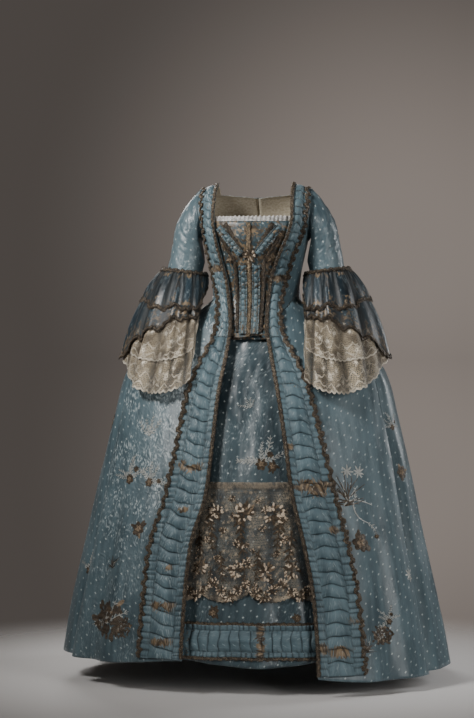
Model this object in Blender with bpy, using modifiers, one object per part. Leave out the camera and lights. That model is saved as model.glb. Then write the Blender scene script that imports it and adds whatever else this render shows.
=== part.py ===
"""Robe a la francaise: an open silk gown with a sack back, over a trimmed petticoat.

Units are metres, +Z is up, the front of the gown faces -Y and the wearer's left is +X.
The origin is midway between the tops of the shoulders, where the wearer holds the gown up.
Heights in the tables are above the floor, and place() turns them into Z.
"""
import math
from collections import namedtuple

import bmesh
import bpy
from mathutils import Vector
from mathutils.bvhtree import BVHTree

# ---------------------------------------------------------------- driving dimensions
SHOULDER_HEIGHT = 1.352
SHOULDER_SLOPE = 0.28
NECK_HALF_WIDTH = 0.103
NECKLINE_HEIGHT = 1.243
BACK_NECK_HEIGHT = 1.320
UNDERARM_HEIGHT = 1.195
WAIST_SIDE_HEIGHT = 1.045
WAIST_FRONT_HEIGHT = 0.985
STOMACHER_TIP_HEIGHT = 0.925
SIDE_FOLD_ANGLE = 64.0
WALL = 0.0015
LACE_WALL = 0.0012
SEAM = 0.0006
SLEEVE_SEAM = 0.0012
TRIM_GAP = 0.0024
LAYER_STEP = 0.0042
SKIRT_CLEARANCE = 0.010
ARM_CLEARANCE = 0.011
STOMACHER_LIFT = -0.0048
WAIST_SEAM_RIDE = 0.0018

SKIRT_PUFFS = 21
BODICE_PUFFS = 14
STOMACHER_PUFFS = 8
SLANT_PUFFS = 5
HEM_PUFFS = 14
FLOUNCE_WAVES = 8
TUCKER_WAVES = 16
LACE_WAVES = 12

# The worn form: a rounded-oblong ring at each height. front and back are its depths.
Section = namedtuple("Section", "height half_width front back squareness")
FORM = (
    Section(0.000, 0.532, 0.412, 0.522, 2.10),
    Section(0.070, 0.520, 0.400, 0.505, 2.10),
    Section(0.157, 0.505, 0.385, 0.482, 2.10),
    Section(0.239, 0.489, 0.370, 0.458, 2.10),
    Section(0.402, 0.454, 0.335, 0.408, 2.12),
    Section(0.583, 0.420, 0.286, 0.345, 2.18),
    Section(0.724, 0.388, 0.238, 0.288, 2.25),
    Section(0.800, 0.370, 0.206, 0.253, 2.30),
    Section(0.845, 0.351, 0.185, 0.228, 2.30),
    Section(0.900, 0.296, 0.156, 0.192, 2.25),
    Section(0.950, 0.232, 0.132, 0.158, 2.18),
    Section(1.000, 0.162, 0.113, 0.124, 2.12),
    Section(1.040, 0.118, 0.106, 0.098, 2.10),
    Section(1.100, 0.124, 0.116, 0.100, 2.10),
    Section(1.150, 0.134, 0.131, 0.106, 2.12),
    Section(1.190, 0.143, 0.141, 0.111, 2.15),
    Section(1.230, 0.151, 0.139, 0.110, 2.20),
    Section(1.270, 0.159, 0.121, 0.098, 2.30),
    Section(1.310, 0.164, 0.085, 0.070, 2.40),
    Section(1.338, 0.164, 0.040, 0.036, 2.50),
    Section(1.352, 0.162, 0.0028, 0.0028, 2.50),
)

# How far each front edge of the gown stands from the middle of the body.
Edge = namedtuple("Edge", "height right left")
FRONT_EDGE = (
    Edge(0.000, 0.154, 0.200),
    Edge(0.070, 0.152, 0.198),
    Edge(0.240, 0.146, 0.184),
    Edge(0.380, 0.134, 0.158),
    Edge(0.520, 0.097, 0.123),
    Edge(0.640, 0.086, 0.104),
    Edge(0.775, 0.076, 0.080),
    Edge(0.900, 0.058, 0.052),
    Edge(0.950, 0.054, 0.042),
    Edge(1.005, 0.057, 0.041),
    Edge(1.080, 0.066, 0.048),
    Edge(1.126, 0.077, 0.061),
    Edge(1.160, 0.086, 0.074),
    Edge(1.208, 0.096, 0.094),
    Edge(1.260, 0.103, 0.104),
    Edge(1.352, 0.103, 0.103),
)

# Width of the ruched band sewn along each front edge.
Band = namedtuple("Band", "height width")
ROBING_WIDTH = (
    Band(0.000, 0.116),
    Band(0.240, 0.112),
    Band(0.520, 0.108),
    Band(0.640, 0.096),
    Band(0.775, 0.084),
    Band(0.850, 0.070),
    Band(0.930, 0.044),
    Band(1.020, 0.033),
    Band(1.100, 0.039),
    Band(1.160, 0.035),
    Band(1.260, 0.034),
    Band(1.300, 0.038),
    Band(1.352, 0.039),
)

# The armhole's edge, as a share of the form's depth at each height.
Armhole = namedtuple("Armhole", "height share")
ARMHOLE = (
    Armhole(1.1950, 0.004),
    Armhole(1.2000, 0.120),
    Armhole(1.2150, 0.240),
    Armhole(1.2400, 0.330),
    Armhole(1.2800, 0.410),
    Armhole(1.3520, 0.430),
)

# Hem of the gown, by angle from the middle of the front.
Hem = namedtuple("Hem", "angle height")
GOWN_HEM = (
    Hem(-180.0, 0.060),
    Hem(-110.0, 0.068),
    Hem(-64.0, 0.072),
    Hem(-40.0, 0.076),
    Hem(-15.0, 0.092),
    Hem(15.0, 0.056),
    Hem(40.0, 0.037),
    Hem(64.0, 0.039),
    Hem(110.0, 0.060),
    Hem(180.0, 0.060),
)

# Folds of the gown's skirt and of the petticoat. depth is outward at the hem, and a fold
# fades to nothing at its top height.
Fold = namedtuple("Fold", "angle width depth top")
GOWN_FOLDS = (
    Fold(-61.0, 5.0, 0.010, 0.84),
    Fold(-52.0, 4.5, -0.010, 0.74),
    Fold(-44.0, 5.0, 0.007, 0.66),
    Fold(47.0, 4.5, -0.010, 0.80),
    Fold(55.0, 4.5, 0.012, 0.86),
    Fold(61.0, 3.5, 0.006, 0.84),
    Fold(-84.0, 6.0, 0.014, 0.80),
    Fold(-100.0, 6.0, -0.016, 0.78),
    Fold(-114.0, 6.5, 0.014, 0.74),
    Fold(84.0, 6.0, 0.012, 0.82),
    Fold(99.0, 6.0, -0.017, 0.80),
    Fold(113.0, 6.5, 0.014, 0.74),
)
PETTICOAT_FOLDS = (
    Fold(-24.0, 4.0, 0.006, 0.90),
    Fold(-16.5, 3.5, -0.005, 0.88),
    Fold(-9.0, 3.5, 0.006, 0.91),
    Fold(-2.0, 3.0, -0.006, 0.90),
    Fold(5.0, 3.2, 0.005, 0.92),
    Fold(11.5, 3.0, -0.005, 0.88),
    Fold(18.0, 3.5, 0.006, 0.90),
    Fold(26.0, 4.0, -0.005, 0.86),
)

# The sack's pleats from the middle outwards: the cloth's rise at the neck and at the hem.
Pleat = namedtuple("Pleat", "across neck_rise hem_rise")
SACK_PLEATS = (
    Pleat(0.00, 0.0000, -0.020),
    Pleat(0.05, 0.0060, -0.012),
    Pleat(0.26, 0.0070, 0.018),
    Pleat(0.47, 0.0060, 0.004),
    Pleat(0.53, 0.0025, -0.014),
    Pleat(0.74, 0.0035, 0.014),
    Pleat(0.92, 0.0030, 0.006),
    Pleat(1.00, 0.0000, 0.000),
)

# The sack's half width, how far it stands off the form, and its edge turned in beneath it.
Sack = namedtuple("Sack", "height half_width lift tuck tuck_rise")
SACK = (
    Sack(0.000, 0.388, 0.004, 0.004, -0.013),
    Sack(0.250, 0.345, 0.004, 0.004, -0.013),
    Sack(0.500, 0.290, 0.005, 0.004, -0.013),
    Sack(0.750, 0.222, 0.007, 0.004, -0.013),
    Sack(0.880, 0.176, 0.022, 0.004, -0.009),
    Sack(0.960, 0.142, 0.040, 0.005, 0.004),
    Sack(1.040, 0.112, 0.066, 0.030, 0.006),
    Sack(1.120, 0.104, 0.046, 0.038, 0.006),
    Sack(1.200, 0.099, 0.030, 0.030, 0.006),
    Sack(1.270, 0.095, 0.021, 0.020, 0.006),
    Sack(1.352, 0.090, 0.015, 0.012, 0.006),
)
SACK_SPAN = 0.30

# The sleeve's rings below the armhole. tilt is how far a ring leans from level.
SleeveRing = namedtuple("SleeveRing", "along out forward height wide deep tilt")
SLEEVE = (
    SleeveRing(0.00, 0.150, 0.000, 1.272, 0.060, 0.056, 78.0),
    SleeveRing(0.20, 0.161, 0.000, 1.254, 0.054, 0.056, 52.0),
    SleeveRing(0.45, 0.176, -0.002, 1.212, 0.051, 0.054, 26.0),
    SleeveRing(0.72, 0.187, 0.000, 1.160, 0.049, 0.052, 13.0),
    SleeveRing(1.00, 0.198, 0.004, 1.106, 0.0470, 0.050, 9.0),
)

# Where the sleeve ruffles end, by angle round the arm: 0 outside, 90 front, 180 inside.
# The shares say how far down each layer reaches.
Ruffle = namedtuple("Ruffle", "angle out forward height lace upper_flounce lower_flounce")
RUFFLES = (
    Ruffle(0.0, 0.354, 0.020, 0.872, 0.84, 0.36, 0.93),
    Ruffle(45.0, 0.318, 0.160, 0.796, 0.78, 0.33, 0.58),
    Ruffle(90.0, 0.238, 0.228, 0.776, 0.74, 0.32, 0.42),
    Ruffle(135.0, 0.154, 0.222, 0.820, 0.72, 0.34, 0.42),
    Ruffle(180.0, 0.148, 0.062, 1.008, 0.76, 0.48, 0.62),
    Ruffle(225.0, 0.162, 0.000, 1.034, 0.82, 0.56, 0.72),
    Ruffle(270.0, 0.208, -0.058, 1.000, 0.84, 0.42, 0.82),
    Ruffle(315.0, 0.300, -0.066, 0.924, 0.86, 0.38, 0.94),
)


# ---------------------------------------------------------------- working out points
def smooth(share):
    """Ease from 0 to 1."""
    share = min(max(share, 0.0), 1.0)
    return share * share * (3.0 - 2.0 * share)


def mix(first, second, share):
    return first + (second - first) * share


def evenly(first, last, count):
    """count + 1 values from first to last."""
    return [mix(first, last, index / count) for index in range(count + 1)]


def slope_at(keys, values, index):
    """Slope of a curve through the table that never overshoots its rows."""
    if index in (0, len(keys) - 1):
        return 0.0
    before = (values[index] - values[index - 1]) / (keys[index] - keys[index - 1])
    after = (values[index + 1] - values[index]) / (keys[index + 1] - keys[index])
    if before * after <= 0.0:
        return 0.0
    return 2.0 * before * after / (before + after)


def read(table, key, column):
    """Value of a named column at key, on a smooth curve through the table's rows."""
    keys = [row[0] for row in table]
    values = [getattr(row, column) for row in table]
    if key <= keys[0]:
        return values[0]
    if key >= keys[-1]:
        return values[-1]
    index = max(place for place, value in enumerate(keys) if value <= key)
    span = keys[index + 1] - keys[index]
    share = (key - keys[index]) / span
    start_slope = slope_at(keys, values, index) * span
    end_slope = slope_at(keys, values, index + 1) * span
    square, cube = share ** 2, share ** 3
    return ((2 * cube - 3 * square + 1) * values[index] + (cube - 2 * square + share) * start_slope
            + (3 * square - 2 * cube) * values[index + 1] + (cube - square) * end_slope)


def read_round(table, angle, column):
    """The same for a table of angles that closes on itself."""
    first = table[0]._replace(angle=table[0].angle + 360.0)
    second = table[1]._replace(angle=table[1].angle + 360.0)
    last = table[-1]._replace(angle=table[-1].angle - 360.0)
    return read((last,) + tuple(table) + (first, second), angle % 360.0, column)


def signed_power(value, exponent):
    return math.copysign(abs(value) ** exponent, value)


def place(x, y, height):
    """World point for a height above the floor; the shoulders fall away from the neck."""
    beyond_neck = max(abs(x) - NECK_HALF_WIDTH, 0.0)
    drop = SHOULDER_SLOPE * beyond_neck * smooth((height - 1.24) / 0.10)
    return Vector((x, y, height - SHOULDER_HEIGHT - drop))


def form_at(height, inset=0.0, front_inset=None):
    """The form's ring at a height, drawn in for what is worn beneath."""
    if front_inset is None:
        front_inset = inset
    return Section(height, read(FORM, height, "half_width") - inset,
                   read(FORM, height, "front") - front_inset,
                   read(FORM, height, "back") - inset, read(FORM, height, "squareness"))


def ring_xy(ring, angle):
    """X and Y on a ring at an angle from the middle of the front."""
    turn = math.radians(angle)
    power = 2.0 / ring.squareness
    depth = ring.front if math.cos(turn) > 0.0 else ring.back
    return (ring.half_width * signed_power(math.sin(turn), power),
            -depth * signed_power(math.cos(turn), power))


def ring_angle(ring, x):
    """Angle at which a ring passes x, on its front half."""
    share = min(abs(x) / ring.half_width, 1.0)
    return math.copysign(math.degrees(math.asin(share ** (ring.squareness / 2.0))), x)


def ring_depth(ring, x):
    """How far back a ring reaches at x."""
    share = min(abs(x) / ring.half_width, 1.0)
    return ring.back * (1.0 - share ** ring.squareness) ** (1.0 / ring.squareness)


def outward(ring, x, y):
    """Level direction out of a ring at x, y."""
    depth = ring.front if y < 0.0 else ring.back
    power = ring.squareness - 1.0
    return Vector((signed_power(x / ring.half_width, power) / ring.half_width,
                   signed_power(y / depth, power) / depth, 0.0)).normalized()


def fold_rise(folds, angle, height):
    """Outward rise of the folds at an angle and a height."""
    rise = 0.0
    for fold in folds:
        reach = smooth((fold.top - height) / (fold.top - 0.10))
        rise += fold.depth * reach * math.exp(-((angle - fold.angle) / fold.width) ** 2)
    return rise


def moved_out(surface, first, second, lift, panels=None, step=0.0015):
    """The point surface(first, second), moved out along the surface's normal by lift.

    With panels, it is moved out from the panels' own flat facets, which it lies on.
    """
    point = surface(first, second)
    along = surface(first + step, second) - surface(first - step, second)
    across = surface(first, second + step) - surface(first, second - step)
    normal = along.cross(across).normalized()
    if normal.dot(Vector((point.x, point.y, 0.0))) < 0.0:
        normal = -normal
    if panels is not None:
        hit = panels.ray_cast(point + normal * 0.02, -normal, 0.04)[0]
        point = hit or point
    return point + normal * lift


def facets(*pieces):
    """The outer facets of finished pieces, for what is sewn on them to lie on."""
    corners, faces = [], []
    for piece in pieces:
        start = len(corners)
        corners += [vert.co.copy() for vert in piece.data.vertices]
        faces += [[start + corner for corner in face.vertices] for face in piece.data.polygons]
    return BVHTree.FromPolygons(corners, faces)


# ---------------------------------------------------------------- making objects
def fabric(name, colour, roughness, metallic=0.0):
    """A Principled material for one object."""
    material = bpy.data.materials.new(name)
    material.use_nodes = True
    shader = material.node_tree.nodes["Principled BSDF"]
    shader.inputs["Base Color"].default_value = (*colour, 1.0)
    shader.inputs["Roughness"].default_value = roughness
    shader.inputs["Metallic"].default_value = metallic
    return material


SILK = ((0.090, 0.180, 0.225), 0.42)
LACE = ((0.520, 0.430, 0.290), 0.80)
GOLD_LACE = ((0.260, 0.190, 0.100), 0.55)
WHITE_LACE = ((0.780, 0.750, 0.680), 0.80)


def cloth(name, surface, across, along, look, closed=False, wraps=(0.0, 0.0), wall=WALL,
          laid_on=False):
    """One cut piece: surface(a, b) at every crossing of the two lists, as a thin wall.

    A piece laid on another grows its wall outwards; any other grows it inwards. wraps is
    the X and Y that the piece goes round, and closed joins its first column to its last.
    """
    sheet = bmesh.new()
    columns, rows = len(across) - 1, len(along) - 1
    bmesh.ops.create_grid(sheet, x_segments=columns, y_segments=rows, size=0.5)
    for vert in sheet.verts:
        column = round((vert.co.x + 0.5) * columns)
        row = round((vert.co.y + 0.5) * rows)
        vert.co = surface(across[column], along[row])
    if closed:
        bmesh.ops.remove_doubles(sheet, verts=sheet.verts, dist=1e-6)
    sheet.normal_update()
    centre = Vector((wraps[0], wraps[1], 0.0))
    facing = 0.0
    for face in sheet.faces:
        away = face.calc_center_median() - centre
        away.z = 0.0
        facing += face.normal.dot(away) * face.calc_area()
    if facing < 0.0:
        bmesh.ops.reverse_faces(sheet, faces=sheet.faces)
    mesh = bpy.data.meshes.new(name)
    sheet.to_mesh(mesh)
    sheet.free()
    mesh.shade_smooth()
    piece = bpy.data.objects.new(name, mesh)
    gown.objects.link(piece)
    piece.data.materials.append(fabric(name, *look))
    thicken = piece.modifiers.new("cloth wall", "SOLIDIFY")
    thicken.thickness = wall
    thicken.offset = 1.0 if laid_on else -1.0
    thicken.use_even_offset = False
    return piece


# ---------------------------------------------------------------- bodice
def front_edge(side, height):
    """X of the gown's front edge on one side; side is 1 on the wearer's left, -1 on the right."""
    return side * read(FRONT_EDGE, height, "left" if side > 0 else "right")


def waist_height(angle):
    """The waist seam dips from the side towards the middle of the front."""
    return mix(WAIST_FRONT_HEIGHT, WAIST_SIDE_HEIGHT, smooth(abs(angle) / 85.0))


def armhole_height(turn):
    """Height on the armhole's loop, turn degrees round from its top."""
    middle = (SHOULDER_HEIGHT + UNDERARM_HEIGHT) / 2.0
    return middle + (SHOULDER_HEIGHT - UNDERARM_HEIGHT) / 2.0 * math.cos(math.radians(turn))


def armhole_angle(ring):
    """Angle at which the armhole, or below it the side seam, ends a bodice piece."""
    share = read(ARMHOLE, ring.height, "share")
    return min(math.degrees(math.acos(share ** (ring.squareness / 2.0))), 89.6)


def bodice_front(side):
    def surface(share, level):
        height = 1.0 if level < 1.0 else level
        for _ in range(3):
            ring = form_at(height)
            angle = mix(abs(ring_angle(ring, front_edge(side, height))), armhole_angle(ring), share)
            if level < 1.0:
                height = mix(waist_height(angle) + SEAM, UNDERARM_HEIGHT, level)
        x, y = ring_xy(ring, side * angle)
        return place(x, y, height)
    return surface


# Rows of a bodice piece: shares of the way from waist to underarm, then armhole heights.
WAIST_ROWS = (0.0, 0.13, 0.32, 0.56, 0.80)
ARMHOLE_TURNS = evenly(180.0, 0.0, 8)


def bodice_back(side):
    def surface(share, level):
        height = level if level >= 1.0 else mix(WAIST_SIDE_HEIGHT + SEAM, UNDERARM_HEIGHT, level)
        ring = form_at(height)
        seam = mix(0.0006, NECK_HALF_WIDTH, smooth((height - BACK_NECK_HEIGHT + 0.002) / 0.008))
        angle = mix(abs(ring_angle(ring, seam)), armhole_angle(ring), share)
        x, y = ring_xy(ring, side * (180.0 - angle))
        return place(x, y, height)
    return surface


# ---------------------------------------------------------------- sleeve and its ruffles
def armhole_point(side, angle):
    """The armhole's loop, just outside the bodice's cut edge."""
    height = armhole_height(angle)
    ring = form_at(height)
    share = read(ARMHOLE, height, "share")
    x = ring.half_width * (1.0 - share ** ring.squareness) ** (1.0 / ring.squareness)
    reach = share * (ring.front if math.sin(math.radians(angle)) >= 0.0 else ring.back)
    toward = math.copysign(max(reach - SLEEVE_SEAM, 0.0), -math.sin(math.radians(angle)))
    return place(side * (x + SLEEVE_SEAM), toward, height - SLEEVE_SEAM * math.cos(math.radians(angle)))


def sleeve(side):
    def surface(angle, along):
        angle %= 360.0
        turn, tilt = math.radians(angle), math.radians(read(SLEEVE, along, "tilt"))
        wide = read(SLEEVE, along, "wide") * math.cos(turn)
        x = read(SLEEVE, along, "out") + wide * math.cos(tilt)
        y = -read(SLEEVE, along, "forward") - read(SLEEVE, along, "deep") * math.sin(turn)
        height = read(SLEEVE, along, "height") + wide * math.sin(tilt)
        start = armhole_point(side, angle)
        settled = smooth(along / 0.42)
        point = Vector((side * x, y, height - SHOULDER_HEIGHT)) * settled + start * (1.0 - settled)
        beside = min(point.z + SHOULDER_HEIGHT, UNDERARM_HEIGHT)
        body = read(FORM, beside, "half_width") + ARM_CLEARANCE
        least = mix(abs(start.x), body, smooth(along / 0.30))
        point.x = side * max(abs(point.x), least)
        return point
    return surface


def clear_of_skirt(point, gap):
    """point moved out along the skirt's normal until it stands gap away from it."""
    def inside(spot):
        ring = form_at(spot.z + SHOULDER_HEIGHT)
        depth = ring.front if spot.y < 0.0 else ring.back
        total = abs(spot.x / ring.half_width) ** ring.squareness + abs(spot.y / depth) ** ring.squareness
        return total ** (1.0 / ring.squareness) - 1.0

    step = 0.001
    for _ in range(6):
        value = inside(point)
        slope = Vector([(inside(point + step * axis) - inside(point - step * axis)) / (2.0 * step)
                        for axis in (Vector((1, 0, 0)), Vector((0, 1, 0)), Vector((0, 0, 1)))])
        distance = value / slope.length
        if distance >= gap:
            break
        point = point + slope.normalized() * (gap - distance)
    return point


def ruffle_end(side, angle):
    """Where the longest ruffle ends at an angle round the arm."""
    return Vector((side * read_round(RUFFLES, angle, "out"), -read_round(RUFFLES, angle, "forward"),
                   read_round(RUFFLES, angle, "height") - SHOULDER_HEIGHT))


def ruffle(side, layer, reach):
    """A gathered ruffle hung from the elbow; reach(angle) is the share of the way it hangs."""
    cuff = sleeve(side)

    def surface(angle, down):
        share = down * reach(angle)
        turn = math.radians(angle)
        away = Vector((side * math.cos(turn), -math.sin(turn), 0.25)).normalized()
        top = cuff(angle, 1.0) + away * 0.0034
        point = top.lerp(ruffle_end(side, angle), share)
        open_side = 0.5 + 0.5 * math.cos(turn)
        wave = mix(0.004, 0.012, open_side) * share ** 0.75 * math.sin(turn * FLOUNCE_WAVES)
        swell = 0.016 * open_side * math.sin(math.pi * min(share, 1.0))
        point += away * (swell + wave + layer * LAYER_STEP)
        hang = smooth(share / 0.35)
        gap = SKIRT_CLEARANCE + layer * LAYER_STEP * open_side
        return point.lerp(clear_of_skirt(point, gap), hang)
    return surface


# ---------------------------------------------------------------- gown skirt
SKIRT_ROWS = (0.0, 0.05, 0.11, 0.18, 0.27, 0.39, 0.54, 0.69, 0.85, 1.0)


def skirt_front(side):
    def surface(share, down):
        height = 1.0
        for _ in range(3):
            ring = form_at(height)
            angle = mix(abs(ring_angle(ring, front_edge(side, height))), SIDE_FOLD_ANGLE, share)
            hem = read(GOWN_HEM, side * angle, "height")
            height = mix(waist_height(angle) - SEAM, hem, down)
        ring = form_at(height)
        x, y = ring_xy(ring, side * angle)
        return place(x, y, height) + outward(ring, x, y) * fold_rise(GOWN_FOLDS, side * angle, height)
    return surface


def skirt_side(side):
    """From beneath the front's side fold round to the sack's edge."""
    def surface(share, down):
        height = 1.0
        for _ in range(3):
            ring = form_at(height)
            edge = read(SACK, height, "half_width") - read(SACK, height, "tuck")
            edge += mix(0.003, 0.008, smooth((1.0 - height) / 0.12))
            last = 180.0 - abs(ring_angle(ring, min(edge, ring.half_width * 0.995)))
            angle = mix(SIDE_FOLD_ANGLE - 4.0, last, share)
            hem = read(GOWN_HEM, side * angle, "height")
            height = mix(waist_height(angle) - SEAM, hem, down)
        ring = form_at(height)
        x, y = ring_xy(ring, side * angle)
        tuck = mix(0.005, 0.030, smooth((0.98 - height) / 0.80))
        tuck *= 1.0 - smooth((angle - SIDE_FOLD_ANGLE - 1.5) / 10.0)
        rise = fold_rise(GOWN_FOLDS, side * angle, height) * smooth((angle - SIDE_FOLD_ANGLE) / 12.0)
        rise *= smooth((last - angle) / 10.0)
        return place(x, y, height) + outward(ring, x, y) * (rise - tuck)
    return surface


def sack_back(across, height):
    """The pleated back; past 1 on either side its edge turns in to meet what it hangs on."""
    ring = form_at(height)
    half_width = read(SACK, height, "half_width")
    span = max(ring.half_width, SACK_SPAN)
    at = min(abs(across), 1.0)
    x = at * half_width
    depth = ring.back + read(SACK, height, "lift")
    y = depth * (1.0 - (x / span) ** ring.squareness) ** (1.0 / ring.squareness)
    opened = smooth((1.16 - height) / 0.85)
    y += mix(read(SACK_PLEATS, at, "neck_rise"), read(SACK_PLEATS, at, "hem_rise"), opened)
    turned = (abs(across) - at) / 0.2
    if turned > 0.0:
        end = half_width - read(SACK, height, "tuck")
        x = mix(x, end, turned)
        y = mix(y, ring_depth(ring, end) + read(SACK, height, "tuck_rise"), turned)
    side = math.copysign(1.0, across)
    return Vector((side * x, y, height - SHOULDER_HEIGHT))


# ---------------------------------------------------------------- trims and stomacher
def front_face(x, height):
    """The form's front at x."""
    ring = form_at(height)
    angle = ring_angle(ring, x)
    return place(*ring_xy(ring, angle), height)


def ruched_lift(share, along, puffs, crown, frill=0.22):
    """Height of a ruched band: a row of puffs between two gathering threads, frills outside."""
    puff = abs(math.sin(math.pi * puffs * along)) ** 0.7
    if share < frill or share > 1.0 - frill:
        out = min(share, 1.0 - share) / frill
        return crown * mix(0.2 + 0.3 * puff, 0.0, out)
    middle = (share - frill) / (1.0 - 2.0 * frill)
    return crown * math.sin(math.pi * middle) * mix(0.25, 1.0, puff)


def robing(side, top, bottom, puffs, crown, panels):
    """A ruched band along the front edge, from top to bottom height."""
    def surface(share, along):
        height = mix(top, bottom, along)
        width = read(ROBING_WIDTH, height, "width")
        flutter = 0.004 * math.cos(2.0 * math.pi * puffs * along) * smooth((share - 0.7) / 0.3)
        x = front_edge(side, height) + side * (share * (width + flutter) + 0.001)
        over_seam = WAIST_SEAM_RIDE * math.exp(-((height - 1.015) / 0.025) ** 2)
        lift = TRIM_GAP + over_seam + ruched_lift(share, along, puffs, crown)
        return moved_out(front_face, x, height, lift, panels)
    return surface


def stomacher(share, height):
    right = front_edge(-1, height) - 0.008
    left = front_edge(1, height) + 0.008
    return moved_out(front_face, mix(right, left, share), height, STOMACHER_LIFT)


def stomacher_band(start, end, width, puffs, panels):
    """A ruched band on the stomacher between two (x, height) points."""
    run = Vector((end[0] - start[0], end[1] - start[1]))
    beside = Vector((-run.y, run.x)).normalized()

    def stomacher_face(x, height):
        return moved_out(front_face, x, height, STOMACHER_LIFT)

    def surface(share, along):
        x = start[0] + run.x * along + beside.x * width * (share - 0.5)
        height = start[1] + run.y * along + beside.y * width * (share - 0.5)
        lift = TRIM_GAP + ruched_lift(share, along, puffs, 0.006)
        return moved_out(stomacher_face, x, height, lift, panels)
    return surface


def tucker(x, height):
    wave = 0.0025 * math.sin(2.0 * math.pi * TUCKER_WAVES * (x + 0.095) / 0.19)
    return moved_out(front_face, x, height, -0.007 + wave)


# ---------------------------------------------------------------- petticoat
def petticoat_ring(height):
    inset = mix(0.012, 0.046, smooth((1.03 - height) / 0.30))
    return form_at(height, inset, mix(0.014, 0.026, smooth((0.96 - height) / 0.15)))


def petticoat(angle, height):
    ring = petticoat_ring(height)
    x, y = ring_xy(ring, angle)
    rise = fold_rise(PETTICOAT_FOLDS, angle, height)
    return place(x, y, height) + outward(ring, x, y) * rise


def petticoat_panel(first, last):
    def surface(share, down):
        angle = mix(first, last, share)
        top = mix(0.960, 1.030, smooth(abs(angle) / 60.0))
        hem = mix(0.074, 0.092, smooth(abs(angle - 5.0) / 25.0))
        return petticoat(angle, mix(top, hem, down))
    return surface


def petticoat_lace(panels):
    """The gathered metal lace, scalloped along its lower edge."""
    def surface(angle, down):
        scallop = 0.010 * abs(math.sin(math.radians(angle + 30.0) * LACE_WAVES))
        height = mix(0.546, 0.240 + scallop, down)
        wave = 0.0022 * (1.0 - math.cos(math.radians(angle) * 24.0)) * smooth(down / 0.4)
        return moved_out(petticoat, angle, height, TRIM_GAP + 0.0006 + wave, panels, 0.2)
    return surface


def petticoat_ruche(panels):
    """The band of upright puffs above the hem."""
    def surface(angle, share):
        along = (angle + 28.0) / 62.0
        lift = TRIM_GAP + ruched_lift(share, along, HEM_PUFFS, 0.008, 0.16)
        return moved_out(petticoat, angle, mix(0.182, 0.102, share), lift, panels, 0.2)
    return surface


# ---------------------------------------------------------------- building
def build_gown_side(side, name):
    """Bodice and skirt on one side, and the ruched robings sewn down their front edge."""
    rows = WAIST_ROWS + tuple(armhole_height(turn) for turn in ARMHOLE_TURNS)
    bodice = cloth("bodice_front_" + name, bodice_front(side), evenly(0.0, 1.0, 7), rows, SILK)
    back_rows = rows[:-3] + (BACK_NECK_HEIGHT - 0.003,) + rows[-3:]
    cloth("bodice_back_" + name, bodice_back(side), evenly(0.0, 1.0, 6), back_rows, SILK)
    skirt = cloth("skirt_front_" + name, skirt_front(side), evenly(0.0, 1.0, 12), SKIRT_ROWS, SILK)
    cloth("skirt_side_" + name, skirt_side(side), evenly(0.0, 1.0, 12), SKIRT_ROWS, SILK)
    panels = facets(bodice, skirt)
    threads = (0.0, 0.22, 0.5, 0.78, 1.0)
    cloth("bodice_robing_" + name, robing(side, 1.349, 0.9275, BODICE_PUFFS, 0.0065, panels),
          threads, evenly(0.0, 1.0, BODICE_PUFFS * 2), SILK, laid_on=True)
    hem = read(GOWN_HEM, side * 20.0, "height") + 0.004
    cloth("skirt_robing_" + name, robing(side, 0.9265, hem, SKIRT_PUFFS, 0.0095, panels),
          threads, evenly(0.0, 1.0, SKIRT_PUFFS * 2), SILK, laid_on=True)


def build_sleeve(side, name):
    arm = (side * 0.19, 0.0)
    cloth("sleeve_" + name, sleeve(side), evenly(0.0, 360.0, 16), evenly(0.0, 1.0, 6), SILK,
          closed=True, wraps=arm)
    around = evenly(0.0, 360.0, FLOUNCE_WAVES * 4)
    layers = (
        ("lace_ruffle_long_", 0, lambda angle: 1.0, 4, LACE),
        ("lace_ruffle_upper_", 1, lambda angle: read_round(RUFFLES, angle, "lace"), 3, LACE),
        ("flounce_lower_", 2, lambda angle: read_round(RUFFLES, angle, "lower_flounce"), 3, SILK),
        ("flounce_upper_", 3, lambda angle: read_round(RUFFLES, angle, "upper_flounce"), 2, SILK),
    )
    for title, layer, reach, rows, look in layers:
        cloth(title + name, ruffle(side, layer, reach), around, evenly(0.0, 1.0, rows), look,
              closed=True, wraps=arm, wall=LACE_WALL)


def build_sack():
    half = []
    for inner, outer in zip(SACK_PLEATS[:-1], SACK_PLEATS[1:]):
        half.append(inner.across)
        if outer.across - inner.across > 0.1:
            half.append((inner.across + outer.across) / 2.0)
    half += [1.0, 1.1, 1.2]
    across = [-value for value in reversed(half[1:])] + half
    heights = (0.060, 0.19, 0.34, 0.50, 0.65, 0.77, 0.87, 0.96, 1.04, 1.12, 1.20, 1.27, 1.319)
    cloth("sack_back", sack_back, across, heights, SILK)


def build_stomacher():
    rows = evenly(STOMACHER_TIP_HEIGHT, NECKLINE_HEIGHT, 9)
    front = facets(cloth("stomacher", stomacher, evenly(0.0, 1.0, 8), rows, SILK))
    middle = -0.006
    threads = (0.0, 0.5, 1.0)
    for side, name in ((1, "left"), (-1, "right")):
        upright = stomacher_band((middle + side * 0.018, 1.122), (middle + side * 0.016, 0.938),
                                 0.021, STOMACHER_PUFFS, front)
        cloth("stomacher_ruche_" + name, upright, threads, evenly(0.0, 1.0, STOMACHER_PUFFS * 2),
              SILK, laid_on=True)
        slanted = stomacher_band((middle + side * 0.084, 1.226), (middle + side * 0.022, 1.152),
                                 0.020, SLANT_PUFFS, front)
        cloth("stomacher_slant_" + name, slanted, threads, evenly(0.0, 1.0, SLANT_PUFFS * 2),
              SILK, laid_on=True)
    cloth("neck_tucker", tucker, evenly(-0.095, 0.095, TUCKER_WAVES * 2),
          (NECKLINE_HEIGHT + 0.001, NECKLINE_HEIGHT + 0.015), WHITE_LACE, wall=LACE_WALL)


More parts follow.
